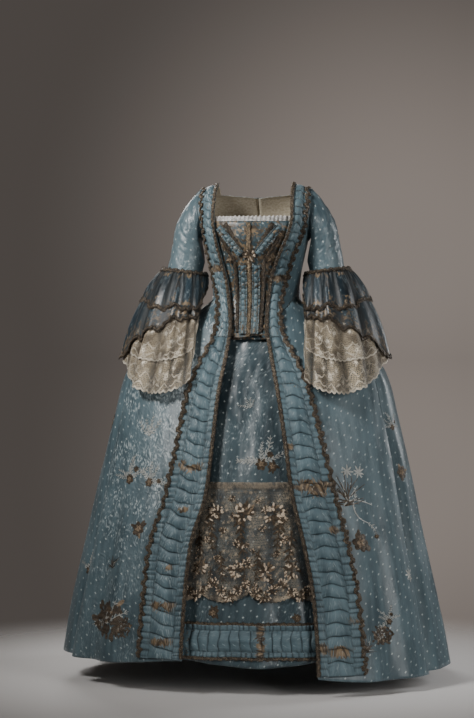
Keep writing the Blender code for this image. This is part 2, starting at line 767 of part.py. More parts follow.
def build_petticoat():
    seam = 0.35
    rows = evenly(0.0, 1.0, 7)
    front = cloth("petticoat_front", petticoat_panel(-34.0, 34.0), evenly(0.0, 1.0, 24), rows, SILK)
    cloth("petticoat_side_left", petticoat_panel(34.0 + seam, 110.0), evenly(0.0, 1.0, 6), rows, SILK)
    cloth("petticoat_side_right", petticoat_panel(-34.0 - seam, -110.0), evenly(0.0, 1.0, 6), rows,
          SILK)
    cloth("petticoat_back", petticoat_panel(110.0 + seam, 250.0 - seam), evenly(0.0, 1.0, 9), rows,
          SILK)
    panels = facets(front)
    cloth("petticoat_lace", petticoat_lace(panels), evenly(-28.0, 32.0, 26), evenly(0.0, 1.0, 4),
          GOLD_LACE, laid_on=True, wall=LACE_WALL)
    cloth("petticoat_ruche", petticoat_ruche(panels), evenly(-28.0, 34.0, HEM_PUFFS * 2),
          (0.0, 0.2, 0.8, 1.0), SILK, laid_on=True)


for old in list(bpy.data.objects):
    bpy.data.objects.remove(old, do_unlink=True)
gown = bpy.data.collections.new("robe a la francaise")
bpy.context.scene.collection.children.link(gown)

for wearer_side, side_name in ((1, "left"), (-1, "right")):
    build_gown_side(wearer_side, side_name)
    build_sleeve(wearer_side, side_name)
build_sack()
build_stomacher()
build_petticoat()
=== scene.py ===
"""Robe a la francaise: the dressed gown, its petticoat, stomacher, trims and lace, worn and hollow."""
import math
import random
from collections import namedtuple

import bmesh
import bpy
import numpy as np
from mathutils import Matrix, Vector, noise
from mathutils.bvhtree import BVHTree


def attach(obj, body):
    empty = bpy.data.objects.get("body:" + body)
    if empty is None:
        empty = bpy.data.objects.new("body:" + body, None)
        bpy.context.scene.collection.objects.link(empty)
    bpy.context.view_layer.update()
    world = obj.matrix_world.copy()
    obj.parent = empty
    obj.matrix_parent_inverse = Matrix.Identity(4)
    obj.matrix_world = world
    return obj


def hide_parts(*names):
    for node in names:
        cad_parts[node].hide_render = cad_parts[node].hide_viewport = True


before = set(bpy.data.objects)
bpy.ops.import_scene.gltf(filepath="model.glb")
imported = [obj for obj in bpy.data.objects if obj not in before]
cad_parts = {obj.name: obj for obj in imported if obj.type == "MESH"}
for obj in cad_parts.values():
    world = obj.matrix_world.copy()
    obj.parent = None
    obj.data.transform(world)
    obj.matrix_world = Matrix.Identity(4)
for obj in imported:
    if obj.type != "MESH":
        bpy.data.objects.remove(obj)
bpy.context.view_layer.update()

# ---------------------------------------------------------------- studio
# A pale paper floor that fades into the taupe of the room, a narrow soft light above the
# gown's right side, broad ones in front, at its left edge and behind, and a long lens set
# level with the hips.
FLOOR = -1.352
CAMERA_TURN = math.radians(6.0)
CAMERA_AWAY, CAMERA_HEIGHT = 5.5, 0.87
FOCAL_PIXELS, FRAME_HIGH, AXIS_SHIFT, SENSOR_HIGH = 1996.0, 718.0, -19.0, 36.0

lens = bpy.data.cameras.new("studio camera")
lens.sensor_fit, lens.sensor_height = "VERTICAL", SENSOR_HIGH
lens.lens = FOCAL_PIXELS * SENSOR_HIGH / FRAME_HIGH
lens.shift_x = AXIS_SHIFT / FRAME_HIGH
camera = bpy.data.objects.new("studio camera", lens)
camera.location = (CAMERA_AWAY * math.sin(CAMERA_TURN), -CAMERA_AWAY * math.cos(CAMERA_TURN),
                   CAMERA_HEIGHT + FLOOR)
camera.rotation_euler = (math.radians(90.0), 0.0, CAMERA_TURN)
bpy.context.scene.collection.objects.link(camera)
bpy.context.scene.camera = camera


def soft_light(name, where, aim, size, watts, colour, spread=180.0):
    lamp = bpy.data.lights.new(name, "AREA")
    lamp.shape, lamp.size, lamp.energy, lamp.color = "SQUARE", size, watts, colour
    lamp.spread = math.radians(spread)
    light = bpy.data.objects.new(name, lamp)
    light.location = where
    light.rotation_euler = (Vector(aim) - Vector(where)).to_track_quat("-Z", "Y").to_euler()
    bpy.context.scene.collection.objects.link(light)


soft_light("key light", (-1.8, -2.1, 1.60), (-0.16, 0.0, -0.10), 0.8, 11.0, (1.0, 0.985, 0.96), 50.0)
soft_light("front light", (2.9, -3.0, 0.1), (0.1, 0.0, -0.70), 1.8, 58.0, (1.0, 0.99, 0.97))
soft_light("edge light", (2.6, 1.4, 0.2), (0.0, 0.0, -0.7), 0.9, 26.0, (0.97, 0.985, 1.0))
soft_light("back light", (-1.3, 3.4, 1.3), (0.0, 0.1, -0.5), 1.4, 44.0, (1.0, 0.99, 0.97))


def wire(tree, kind, *inputs, output=0, **settings):
    """Adds a shader node and returns an output; inputs fill its sockets in order."""
    made = tree.nodes.new("ShaderNode" + kind)
    for setting, value in settings.items():
        setattr(made, setting, value)
    for socket, value in zip(made.inputs, inputs):
        if isinstance(value, bpy.types.NodeSocket):
            tree.links.new(value, socket)
        elif value is not None:
            socket.default_value = value
    return made.outputs[output]


def sums(tree, how, first, second=None, third=None, clamp=False):
    return wire(tree, "Math", first, second, third, operation=how, use_clamp=clamp)


def vectors(tree, how, first, second=None, third=None, output=0):
    return wire(tree, "VectorMath", first, second, third, operation=how, output=output)


def mottle(tree, where, scale, detail, output=0):
    """Soft noise, as a value or, from output 1, as a colour."""
    return wire(tree, "TexNoise", where, None, scale, detail, output=output)


def mark(tree, name):
    """A value that a piece carries at each of its points."""
    return wire(tree, "Attribute", attribute_name=name, output=2)


def flat_cloth(tree):
    """Where a point lies on its piece as it was cut, in metres."""
    return wire(tree, "UVMap", uv_map="cloth")


def split(tree, vector):
    """A vector's parts, one on each output."""
    parts = tree.nodes.new("ShaderNodeSeparateXYZ")
    tree.links.new(vector, parts.inputs[0])
    return parts.outputs


def ramp(tree, value, low, high, to_low=0.0, to_high=1.0):
    """value eased from low..high to to_low..to_high."""
    return wire(tree, "MapRange", value, low, high, to_low, to_high, interpolation_type="SMOOTHSTEP")


def tint(tree, share, first, second):
    """A colour between first and second."""
    made = tree.nodes.new("ShaderNodeMix")
    made.data_type = "RGBA"
    for socket, value in zip((made.inputs[0], made.inputs[6], made.inputs[7]),
                             (share, first, second)):
        if isinstance(value, bpy.types.NodeSocket):
            tree.links.new(value, socket)
        else:
            socket.default_value = value if isinstance(value, float) else (*value, 1.0)
    return made.outputs[2]


def finish(name, **sockets):
    """A material with one Principled shader; returns it with its node tree and its shader."""
    material = bpy.data.materials.new(name)
    material.use_nodes = True
    tree = material.node_tree
    shader = tree.nodes["Principled BSDF"]
    for socket, value in sockets.items():
        shader.inputs[socket.replace("_", " ")].default_value = value
    return material, tree, shader.inputs


ROOM_DARK, ROOM_GLOW = (0.076, 0.066, 0.060), (0.245, 0.212, 0.190)
GLOW_MIDDLE, GLOW_CORE, GLOW_WIDTH = (0.034, 1.0, 0.055), 0.02, 0.19
world = bpy.data.worlds.new("room")
world.use_nodes = True
tree = world.node_tree
facing_way = vectors(tree, "NORMALIZE", wire(tree, "TexCoord"))
both_ends = vectors(tree, "ABSOLUTE", facing_way)
from_glow = vectors(tree, "DISTANCE", both_ends, GLOW_MIDDLE, output=1)
room = tint(tree, ramp(tree, from_glow, GLOW_CORE, GLOW_WIDTH), ROOM_GLOW, ROOM_DARK)
tree.links.new(room, tree.nodes["Background"].inputs["Color"])
bpy.context.scene.world = world

FLOOR_REACH, FLOOR_FADE, PAPER = 1.55, 0.50, (0.88, 0.86, 0.85, 1.0)
floor_mesh = bmesh.new()
bmesh.ops.create_circle(floor_mesh, cap_ends=True, segments=96, radius=FLOOR_REACH)
bmesh.ops.translate(floor_mesh, verts=floor_mesh.verts, vec=(0.0, 0.0, FLOOR))
floor_data = bpy.data.meshes.new("floor")
floor_mesh.to_mesh(floor_data)
floor_mesh.free()
floor = bpy.data.objects.new("floor", floor_data)
bpy.context.scene.collection.objects.link(floor)
paper, tree, shader = finish("pale paper", Roughness=0.85, Specular_IOR_Level=0.2)
shader["Base Color"].default_value = PAPER
spot = wire(tree, "TexCoord", output=3)
away = vectors(tree, "DISTANCE", spot, (0.0, 0.0, FLOOR), output=1)
tree.links.new(ramp(tree, away, FLOOR_FADE, FLOOR_REACH * 0.92, 1.0, 0.0), shader["Alpha"])
floor_data.materials.append(paper)

# ---------------------------------------------------------------- petticoat
# Four silk panels sewn round into a skirt over pads and hoops, which are left out. The
# cloth hangs from the waist in soft uneven folds, deepest over the front of the legs.
SHOULDERS, NECK_HALF_WIDTH, SHOULDER_SLOPE = 1.352, 0.103, 0.28


def table(kind, *rows):
    """Rows of measures, each given the names of its columns."""
    return [kind(*row) for row in rows]


Section = namedtuple("Section", "height half_width front back squareness")
FORM = table(
    Section, (0.000, 0.532, 0.412, 0.522, 2.10), (0.070, 0.520, 0.400, 0.505, 2.10),
    (0.157, 0.505, 0.385, 0.482, 2.10), (0.239, 0.489, 0.370, 0.458, 2.10),
    (0.402, 0.454, 0.335, 0.408, 2.12), (0.583, 0.420, 0.286, 0.345, 2.18),
    (0.724, 0.388, 0.238, 0.288, 2.25), (0.800, 0.370, 0.206, 0.253, 2.30),
    (0.845, 0.351, 0.185, 0.228, 2.30), (0.900, 0.296, 0.156, 0.192, 2.25),
    (0.950, 0.232, 0.132, 0.158, 2.18), (1.000, 0.162, 0.113, 0.124, 2.12),
    (1.040, 0.118, 0.106, 0.098, 2.10), (1.100, 0.124, 0.116, 0.100, 2.10),
    (1.150, 0.134, 0.131, 0.106, 2.12), (1.190, 0.143, 0.141, 0.111, 2.15),
    (1.230, 0.151, 0.139, 0.110, 2.20), (1.270, 0.159, 0.121, 0.098, 2.30),
    (1.310, 0.164, 0.085, 0.070, 2.40), (1.338, 0.164, 0.040, 0.036, 2.50),
    (1.352, 0.162, 0.0028, 0.0028, 2.50),
)
Fold = namedtuple("Fold", "angle width depth top")
PETTICOAT_FOLDS = table(
    Fold, (-24.0, 4.0, 0.006, 0.90), (-16.5, 3.5, -0.005, 0.88), (-9.0, 3.5, 0.006, 0.91),
    (-2.0, 3.0, -0.006, 0.90), (5.0, 3.2, 0.005, 0.92), (11.5, 3.0, -0.005, 0.88), (18.0, 3.5, 0.006, 0.90),
    (26.0, 4.0, -0.005, 0.86),
)


def ease(share):
    share = np.clip(share, 0.0, 1.0)
    return share * share * (3.0 - 2.0 * share)


def mix(first, second, share):
    return first + (second - first) * share


def curve(rows, column, closed=False):
    """A smooth curve through one column of a table, for arrays of keys."""
    keys = np.array([row[0] for row in rows])
    values = np.array([getattr(row, column) for row in rows])
    if closed:
        keys = np.concatenate(([keys[-1] - 360.0], keys, [keys[0] + 360.0, keys[1] + 360.0]))
        values = np.concatenate(([values[-1]], values, values[:2]))
    rise = np.diff(values) / np.diff(keys)
    slopes = np.zeros(len(keys))
    same = rise[:-1] * rise[1:] > 0.0
    slopes[1:-1] = np.where(same, 2.0 * rise[:-1] * rise[1:] / np.where(same, rise[:-1] + rise[1:], 1.0), 0.0)

    def at(key):
        key = np.clip(np.asarray(key) % 360.0 if closed else key, keys[0], keys[-1])
        row = np.clip(np.searchsorted(keys, key, side="right") - 1, 0, len(keys) - 2)
        span = keys[row + 1] - keys[row]
        share = (key - keys[row]) / span
        square, cube = share ** 2, share ** 3
        return ((2 * cube - 3 * square + 1) * values[row] + (cube - 2 * square + share) * slopes[row] * span
                + (3 * square - 2 * cube) * values[row + 1] + (cube - square) * slopes[row + 1] * span)
    return at


def curves(rows, closed=False):
    """A smooth curve through each column of a table, by the column's name."""
    return {column: curve(rows, column, closed) for column in rows[0]._fields[1:]}


form_curves = curves(FORM)


def form_at(height, inset=0.0, front_inset=None):
    """The worn form's ring at each height, drawn in for what is worn beneath."""
    front_inset = inset if front_inset is None else front_inset
    return Section(height, form_curves["half_width"](height) - inset,
                   form_curves["front"](height) - front_inset, form_curves["back"](height) - inset,
                   form_curves["squareness"](height))


def signed_power(value, exponent):
    return np.copysign(np.abs(value) ** exponent, value)


def ring_xy(ring, angle):
    """X and Y on a ring at an angle from the middle of the front."""
    turn, power = np.radians(angle), 2.0 / ring.squareness
    depth = np.where(np.cos(turn) > 0.0, ring.front, ring.back)
    return ring.half_width * signed_power(np.sin(turn), power), -depth * signed_power(np.cos(turn), power)


def ring_angle(ring, x):
    """The angle at which a ring passes x, on its front half."""
    share = np.minimum(np.abs(x) / ring.half_width, 1.0)
    return np.copysign(np.degrees(np.arcsin(share ** (ring.squareness / 2.0))), x)


def bowed(depth, half_width, squareness, x):
    """How far a ring of this depth and half width stands out at x."""
    return depth * (1.0 - (x / half_width) ** squareness) ** (1.0 / squareness)


def place(x, y, height):
    """World points for heights above the floor; the shoulders fall away from the neck."""
    drop = SHOULDER_SLOPE * np.maximum(np.abs(x) - NECK_HALF_WIDTH, 0.0) * ease((height - 1.24) / 0.10)
    return np.stack(np.broadcast_arrays(x, y, height - SHOULDERS - drop), axis=-1)


def outward(ring, x, y):
    """Level direction out of a ring."""
    depth = np.where(y < 0.0, ring.front, ring.back)
    power = ring.squareness - 1.0
    away = np.stack([signed_power(x / ring.half_width, power) / ring.half_width,
                     signed_power(y / depth, power) / depth, np.zeros_like(x + y)], axis=-1)
    return away / np.linalg.norm(away, axis=-1, keepdims=True)


def fold_rise(folds, angle, height):
    rise = np.zeros(np.broadcast(angle, height).shape)
    for fold in folds:
        rise += fold.depth * ease((fold.top - height) / (fold.top - 0.10)) * np.exp(
            -((angle - fold.angle) / fold.width) ** 2)
    return rise


def crossings(across, along):
    """Every crossing of two lists of values, as two arrays."""
    return np.meshgrid(np.asarray(across, float), np.asarray(along, float))


def evenly(first, last, count):
    return np.linspace(first, last, count + 1)


def facing(points, wraps=(0.0, 0.0)):
    """Unit normals of a grid of points, outward from what the cloth goes round."""
    normal = np.cross(np.gradient(points, axis=1), np.gradient(points, axis=0))
    length = np.linalg.norm(normal, axis=-1, keepdims=True)
    normal = normal / np.maximum(length, 1e-12)
    away = points[..., :2] - np.array(wraps)
    return normal if (normal[..., :2] * away).sum() > 0.0 else -normal


def lifted(points, by, wraps=(0.0, 0.0)):
    """A grid of points moved out along its normals."""
    return points + facing(points, wraps) * by[..., None]


def ripple(points, size, seed, octaves=3):
    """Soft noise from -1 to 1 at each point; size is a wrinkle's length in metres."""
    shift = Vector((seed * 3.1, seed * 1.7, seed * 0.9))
    flat = [noise.fractal(Vector(spot) / size + shift, 1.0, 2.0, octaves)
            for spot in points.reshape(-1, 3).tolist()]
    return np.array(flat).reshape(points.shape[:-1])


def run_lengths(points, axis):
    """How far along the cloth each point lies from the first, on one axis of its grid."""
    steps = np.linalg.norm(np.diff(points, axis=axis), axis=-1)
    pad = [(0, 0), (0, 0)]
    pad[axis] = (1, 0)
    return np.cumsum(np.pad(steps, pad), axis=axis)


def finished(name, sheet, materials):
    """A piece made from a bmesh, in its materials."""
    mesh = bpy.data.meshes.new(name)
    sheet.to_mesh(mesh)
    sheet.free()
    mesh.shade_smooth()
    piece = bpy.data.objects.new(name, mesh)
    bpy.context.scene.collection.objects.link(piece)
    for material in materials:
        mesh.materials.append(material)
    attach(piece, "root")
    return piece


def cloth(name, points, materials, wall=0.0009, closed=False, on_top=False, wraps=(0.0, 0.0), marks=None,
          even=False):
    """One cut piece of cloth from a grid of points, as a thin wall with its flat size for UVs.

    marks are named values for its materials. An even piece has straight rows and columns of
    thread whatever its shape. A second material goes on the inside. The wall grows outwards
    for cloth on top of other cloth, and otherwise inwards.
    """
    rows, columns = points.shape[0] - 1, points.shape[1] - 1
    across, along = run_lengths(points, 1), run_lengths(points, 0)
    if even:
        across = np.tile(across[-1] / across[-1, -1] * across[:, -1].mean(), (rows + 1, 1))
        along = np.tile(along.mean(axis=1)[:, None], (1, columns + 1))
    sheet = bmesh.new()
    bmesh.ops.create_grid(sheet, x_segments=columns, y_segments=rows, size=0.5)
    threads = sheet.loops.layers.uv.new("cloth")
    marks = marks or {}
    layers = {title: sheet.verts.layers.float.new(title) for title in marks}
    spots, flat_x, flat_y = points.tolist(), across.tolist(), along.tolist()
    values = {title: np.broadcast_to(value, points.shape[:2]).tolist() for title, value in marks.items()}
    for vert in sheet.verts:
        column, row = round((vert.co.x + 0.5) * columns), round((vert.co.y + 0.5) * rows)
        vert.co = spots[row][column]
        for title, layer in layers.items():
            vert[layer] = values[title][row][column]
        for corner in vert.link_loops:
            corner[threads].uv = (flat_x[row][column], flat_y[row][column])
    if closed:
        bmesh.ops.remove_doubles(sheet, verts=sheet.verts, dist=1e-6)
    sheet.normal_update()
    centre = Vector((*wraps, 0.0))
    outside = sum(face.normal.xy.dot((face.calc_center_median() - centre).xy) * face.calc_area()
                  for face in sheet.faces)
    if outside < 0.0:
        bmesh.ops.reverse_faces(sheet, faces=sheet.faces)
    piece = finished(name, sheet, materials)
    thicken = piece.modifiers.new("cloth wall", "SOLIDIFY")
    thicken.thickness, thicken.offset = wall, 1.0 if on_top else -1.0
    thicken.use_even_offset = False
    thicken.material_offset = len(materials) - 1
    return piece


def sewn(piece, node):
    """Hides the model's part that a piece of cloth replaces, and returns the piece."""
    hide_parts(node)
    return piece


def effect(name, takes, gives):
    """A shader group with named inputs and outputs, for what several fabrics share."""
    group = bpy.data.node_groups.new(name, "ShaderNodeTree")
    for label, value in takes.items():
        kind = {float: "Float", tuple: "Color"}.get(type(value), "Vector")
        socket = group.interface.new_socket(label, in_out="INPUT", socket_type="NodeSocket" + kind)
        if value is not None:
            socket.default_value = (*value, 1.0) if kind == "Color" else value
    for label, kind in gives.items():
        group.interface.new_socket(label, in_out="OUTPUT", socket_type="NodeSocket" + kind)
    return group, group.nodes.new("NodeGroupInput").outputs, group.nodes.new("NodeGroupOutput").inputs


def apply_effect(tree, group, **values):
    made = tree.nodes.new("ShaderNodeGroup")
    made.node_tree = group
    for label, value in values.items():
        socket = made.inputs[label.replace("_", " ")]
        if isinstance(value, bpy.types.NodeSocket):
            tree.links.new(value, socket)
        else:
            socket.default_value = (*value, 1.0) if isinstance(value, tuple) else value
    return made.outputs


# The silk: a ribbed teal ground with small pale four-pointed dots set out in staggered rows, crumpled
# and in places brocaded in brown and gold, with painted glints on its crinkles and painted shade in its
# creases.
DOT_ACROSS, DOT_ALONG, DOT_REACH, DOT_POINTS = 0.0365, 0.0325, 0.0036, 0.75
PAINTED_HIGHLIGHT, PAINTED_CREASE_SHADE = (0.40, 0.47, 0.49), (0.006, 0.010, 0.012)
GILT_DARK, GILT, GILT_PALE = (0.055, 0.040, 0.027), (0.230, 0.165, 0.098), (0.40, 0.36, 0.29)
dotted_silk, given, gives = effect(
    "dotted silk",
    {"Cloth": None, "Silk": (0.104, 0.160, 0.186), "Shade": (0.056, 0.090, 0.108),
     "Dot": (0.44, 0.50, 0.50), "Crinkle": 0.3, "Gather": 0.0, "Brocade": 0.0, "Glint": 0.0, "Matt": 0.0},
    {"Color": "Color", "Roughness": "Float", "Height": "Float"})
tree = dotted_silk


def star_dots(tree, flat, offset):
    """A mask of small four-pointed dots, one in each cell."""
    cell = vectors(tree, "MULTIPLY_ADD", flat, (1.0 / DOT_ACROSS, 1.0 / DOT_ALONG, 0.0),
                   (offset, offset, 0.0))
    spot = vectors(tree, "ADD", vectors(tree, "FRACTION", cell), (-0.5, -0.5, 0.0))
    spot = vectors(tree, "MULTIPLY", spot, (DOT_ACROSS, DOT_ALONG, 0.0))
    spot = vectors(tree, "ABSOLUTE", spot)
    across, along = split(tree, spot)[:2]
    star = sums(tree, "ADD", sums(tree, "POWER", across, DOT_POINTS), sums(tree, "POWER", along, DOT_POINTS))
    reach = DOT_REACH ** DOT_POINTS
    return ramp(tree, star, reach * 0.62, reach * 1.26, 1.0, 0.0)


worn = mottle(tree, given["Cloth"], 42.0, 2.0)
dots = sums(tree, "MAXIMUM", star_dots(tree, given["Cloth"], 0.0), star_dots(tree, given["Cloth"], 0.5))
dots = sums(tree, "MULTIPLY", dots, ramp(tree, worn, 0.30, 0.55, 0.45, 1.0))
drawn_out = vectors(tree, "MULTIPLY", given["Cloth"], (58.0, 5.0, 1.0))
streaks = mottle(tree, drawn_out, 1.0, 3.0)
clouds = mottle(tree, given["Cloth"], 7.0, 4.0)
uneven = sums(tree, "MULTIPLY_ADD", streaks, 0.45, sums(tree, "MULTIPLY", clouds, 0.55))
ground = tint(tree, ramp(tree, uneven, 0.36, 0.62), given["Shade"], given["Silk"])
ground = tint(tree, dots, ground, given["Dot"])
crumple = tree.nodes.new("ShaderNodeTexNoise")
crumple.noise_type = "RIDGED_MULTIFRACTAL"
squeezed = vectors(tree, "MULTIPLY", given["Cloth"], (1.0, 1.35, 1.0))
tree.links.new(squeezed, crumple.inputs["Vector"])
crumple.inputs["Scale"].default_value, crumple.inputs["Detail"].default_value = 52.0, 3.0
crumple.inputs["Distortion"].default_value = 0.5
# Painted highlights: pale streaks, as strong as the Glint input, stand in for light caught on the crinkles.
wavy = mottle(tree, given["Cloth"], 22.0, 1.0, output=1)
bent = vectors(tree, "MULTIPLY_ADD", wavy, (0.030, 0.030, 0.0), given["Cloth"])
bent = vectors(tree, "MULTIPLY", bent, (240.0, 78.0, 1.0))
crossed = mottle(tree, bent, 1.0, 2.0)
patchy = mottle(tree, given["Cloth"], 15.0, 3.0)
painted_glints = sums(tree, "MULTIPLY", ramp(tree, crossed, 0.50, 0.64), ramp(tree, patchy, 0.38, 0.60))
painted_glints = sums(tree, "MULTIPLY", painted_glints, given["Glint"])
ground = tint(tree, painted_glints, ground, PAINTED_HIGHLIGHT)
leafy = mottle(tree, given["Cloth"], 120.0, 3.0)
brown = sums(tree, "MULTIPLY_ADD", sums(tree, "SUBTRACT", leafy, 0.5), 1.7, given["Brocade"])
brown = ramp(tree, brown, 0.38, 0.56)
gilt = tint(tree, ramp(tree, worn, 0.40, 0.64), GILT_DARK, GILT)
gilt = tint(tree, ramp(tree, crossed, 0.58, 0.72), gilt, GILT_PALE)
ground = tint(tree, brown, ground, gilt)
# Painted shade: the gather mark darkens the silk's colour towards near-black in its creases and pleats.
creases = sums(tree, "MULTIPLY", given["Gather"], 0.90, clamp=True)
tree.links.new(tint(tree, creases, ground, PAINTED_CREASE_SHADE), gives["Color"])
ribs = wire(tree, "TexWave", given["Cloth"], 260.0, 1.2, 1.0, bands_direction="Y", output=1)
glossy = sums(tree, "ADD", ramp(tree, clouds, 0.3, 0.7, 0.32, 0.44), given["Matt"])
tree.links.new(sums(tree, "MULTIPLY_ADD", given["Gather"], 0.2, glossy, clamp=True), gives["Roughness"])
raised = sums(tree, "MULTIPLY", crumple.outputs[0], given["Crinkle"])
raised = sums(tree, "MULTIPLY_ADD", ribs, 0.035, raised)
tree.links.new(sums(tree, "MULTIPLY_ADD", dots, 0.10, raised), gives["Height"])


def threaded(tree, shader, threads, bump):
    """Gives a shader the colour, gloss and relief of an effect's threads."""
    relief = wire(tree, "Bump", 0.8, bump, None, threads["Height"])
    for socket, value in (
            ("Base Color", threads["Color"]), ("Roughness", threads["Roughness"]), ("Normal", relief)):
        tree.links.new(value, shader[socket])


def silk(name, crinkle, marks=(), bump=0.0016, shine=0.55, **looks):
    """Silk cloth.

    marks are the piece's own: gather paints shade into the folds, brocade adds brown and gold,
    and glint paints pale highlights.
    """
    material, tree, shader = finish(name, Sheen_Weight=0.14, Sheen_Roughness=0.40, Specular_IOR_Level=shine)
    shader["Sheen Tint"].default_value = (0.82, 0.92, 1.0, 1.0)
    values = dict(looks, Cloth=flat_cloth(tree), Crinkle=crinkle)
    for title in marks:
        values[title.capitalize()] = mark(tree, title)
    threaded(tree, shader, apply_effect(tree, dotted_silk, **values), bump)
    return material


def petticoat_surface(angle, height):
    ring = form_at(height, mix(0.012, 0.046, ease((1.03 - height) / 0.30)),
                   mix(0.014, 0.026, ease((0.96 - height) / 0.15)))
    x, y = ring_xy(ring, angle)
    return place(x, y, height) + outward(ring, x, y) * fold_rise(PETTICOAT_FOLDS, angle, height)[..., None]


PETTICOAT_WAIST, PETTICOAT_HEM = (0.960, 1.030), (0.074, 0.092)


def petticoat_panel(first, last, columns, rows):
    share, down = crossings(evenly(0.0, 1.0, columns), evenly(0.0, 1.0, rows))
    angle = mix(first, last, share)
    top = mix(*PETTICOAT_WAIST, ease(np.abs(angle) / 60.0))
    hem = mix(*PETTICOAT_HEM, ease(np.abs(angle - 5.0) / 25.0))
    points = petticoat_surface(angle, mix(top, hem, down))
    slack = 0.0030 * ripple(points * np.array([1.0, 1.0, 0.28]), 0.045, 3.0)
    slack += 0.0006 * ripple(points, 0.016, 5.0, 2)
    return lifted(points, slack * np.sin(np.pi * share) ** 0.3)


# The petticoat's silk is painted darker than the gown's, standing in for the shade the gown casts on it.
shaded_petticoat_silk = silk("petticoat silk", 0.30, Glint=0.25, Silk=(0.055, 0.089, 0.105),
                      Shade=(0.026, 0.044, 0.055))
FRONT_SEAM, BACK_SEAM, SEAM_GAP = 34.0, 110.0, 0.35
petticoat = {}
for title, first, last, columns, flat in (
        ("petticoat_front", -FRONT_SEAM, FRONT_SEAM, 130, (0.62, 0.91)),
        ("petticoat_side_left", FRONT_SEAM + SEAM_GAP, BACK_SEAM, 40, (0.50, 0.97)),
        ("petticoat_side_right", -FRONT_SEAM - SEAM_GAP, -BACK_SEAM, 40, (0.50, 0.97)),
        ("petticoat_back", BACK_SEAM + SEAM_GAP, 360.0 - BACK_SEAM - SEAM_GAP, 70, (0.96, 0.99))):
    piece = cloth(title + "_silk", petticoat_panel(first, last, columns, 100), [shaded_petticoat_silk])
    petticoat[title] = sewn(piece, title)


# ---------------------------------------------------------------- petticoat's metal lace
# A deep flounce of tarnished gold lace sewn over the front of the petticoat: a brown silk
# net ground with raised flower clusters in gold thread and a scalloped flowered edge.
def outer_face(*pieces):
    """The outer faces of finished cloth, for what is sewn on it to lie on."""
    corners, faces = [], []
    for piece in pieces:
        start = len(corners)
        corners += [vert.co.copy() for vert in piece.data.vertices]
        faces += [[start + corner for corner in face.vertices] for face in piece.data.polygons]
    return BVHTree.FromPolygons(corners, faces)


NEAR = 0.03


def laid_on(points, normals, face, lift):
    """Points dropped along their normals onto a face, then raised by lift."""
    lift = np.broadcast_to(lift, points.shape[:-1]).reshape(-1)
    rested = []
    for spot, away, rise in zip(points.reshape(-1, 3).tolist(), normals.reshape(-1, 3).tolist(), lift):
        spot, away = Vector(spot), Vector(away)
        hit = face.ray_cast(spot + away * NEAR, -away, 2.0 * NEAR)[0]
        rested.append(tuple((hit or spot) + away * float(rise)))
    return np.array(rested).reshape(points.shape)


tarnish, given, gives = effect(
    "tarnished thread",
    {"Cloth": None, "Bright": (0.46, 0.34, 0.19), "Dark": (0.045, 0.030, 0.018), "Wear": 0.5},
    {"Color": "Color", "Roughness": "Float", "Height": "Float"})
patches = mottle(tarnish, given["Cloth"], 120.0, 3.0)
twist = wire(tarnish, "TexWave", given["Cloth"], 170.0, 3.0, 2.0, bands_direction="DIAGONAL", output=1)
glint = sums(tarnish, "MULTIPLY_ADD", twist, 0.35, sums(tarnish, "SUBTRACT", patches, given["Wear"]))
tarnish.links.new(tint(tarnish, ramp(tarnish, glint, 0.0, 0.42), given["Dark"], given["Bright"]),
                  gives["Color"])
tarnish.links.new(ramp(tarnish, patches, 0.3, 0.7, 0.62, 0.36), gives["Roughness"])
tarnish.links.new(twist, gives["Height"])


THREAD_BUMP = 0.0012


def metal_thread(name, wear, bright, dark, metallic):
    material, tree, shader = finish(name, Metallic=metallic)
    threads = apply_effect(tree, tarnish, Cloth=flat_cloth(tree), Wear=wear, Bright=bright, Dark=dark)
    threaded(tree, shader, threads, THREAD_BUMP)
    return material


PETALS = 5.0
net, given, gives = effect(
    "lace net", {"Cloth": None, "Mesh": 330.0, "Thread": 0.16, "Flowers": 26.0, "Fill": 0.34},
    {"Net": "Float", "Flower": "Float"})
cells = net.nodes.new("ShaderNodeTexVoronoi")
cells.feature = "DISTANCE_TO_EDGE"
net.links.new(given["Cloth"], cells.inputs["Vector"])
net.links.new(given["Mesh"], cells.inputs["Scale"])
cells.inputs["Randomness"].default_value = 0.35
net.links.new(sums(net, "LESS_THAN", cells.outputs["Distance"], given["Thread"]), gives["Net"])
blooms = net.nodes.new("ShaderNodeTexVoronoi")
wavy = mottle(net, given["Cloth"], 60.0, 1.0, output=1)
bent = vectors(net, "MULTIPLY_ADD", wavy, (0.010, 0.010, 0.0), given["Cloth"])
net.links.new(bent, blooms.inputs["Vector"])
net.links.new(given["Flowers"], blooms.inputs["Scale"])
blooms.inputs["Randomness"].default_value = 0.72
from_middle = vectors(net, "SUBTRACT", bent, blooms.outputs["Position"])
across, along = split(net, from_middle)[:2]
petals = sums(net, "COSINE", sums(net, "MULTIPLY", sums(net, "ARCTAN2", along, across), PETALS))
reach = sums(net, "MULTIPLY", blooms.outputs["Distance"], sums(net, "MULTIPLY_ADD", petals, -0.22, 1.0))
whole = ramp(net, sums(net, "SUBTRACT", reach, given["Fill"]), -0.03, 0.03, 1.0, 0.0)
eye = ramp(net, reach, 0.06, 0.11)
rim = sums(net, "ABSOLUTE", sums(net, "SUBTRACT", reach, sums(net, "ADD", given["Fill"], 0.10)))
stems = ramp(net, rim, 0.015, 0.045, 0.8, 0.0)
net.links.new(sums(net, "MAXIMUM", sums(net, "MULTIPLY", whole, eye), stems), gives["Flower"])


SWAG_WIDE, LACE_RELIEF = 0.026, 0.0012
Vine = namedtuple("Vine", "above_hem dip thin")
BORDER_VINES = table(Vine, (0.006, 0.010, 0.0011), (0.036, -0.012, 0.0010), (0.052, 0.014, 0.0009))
VINE_WANDER, VINE_STRENGTH = 0.014, 0.66


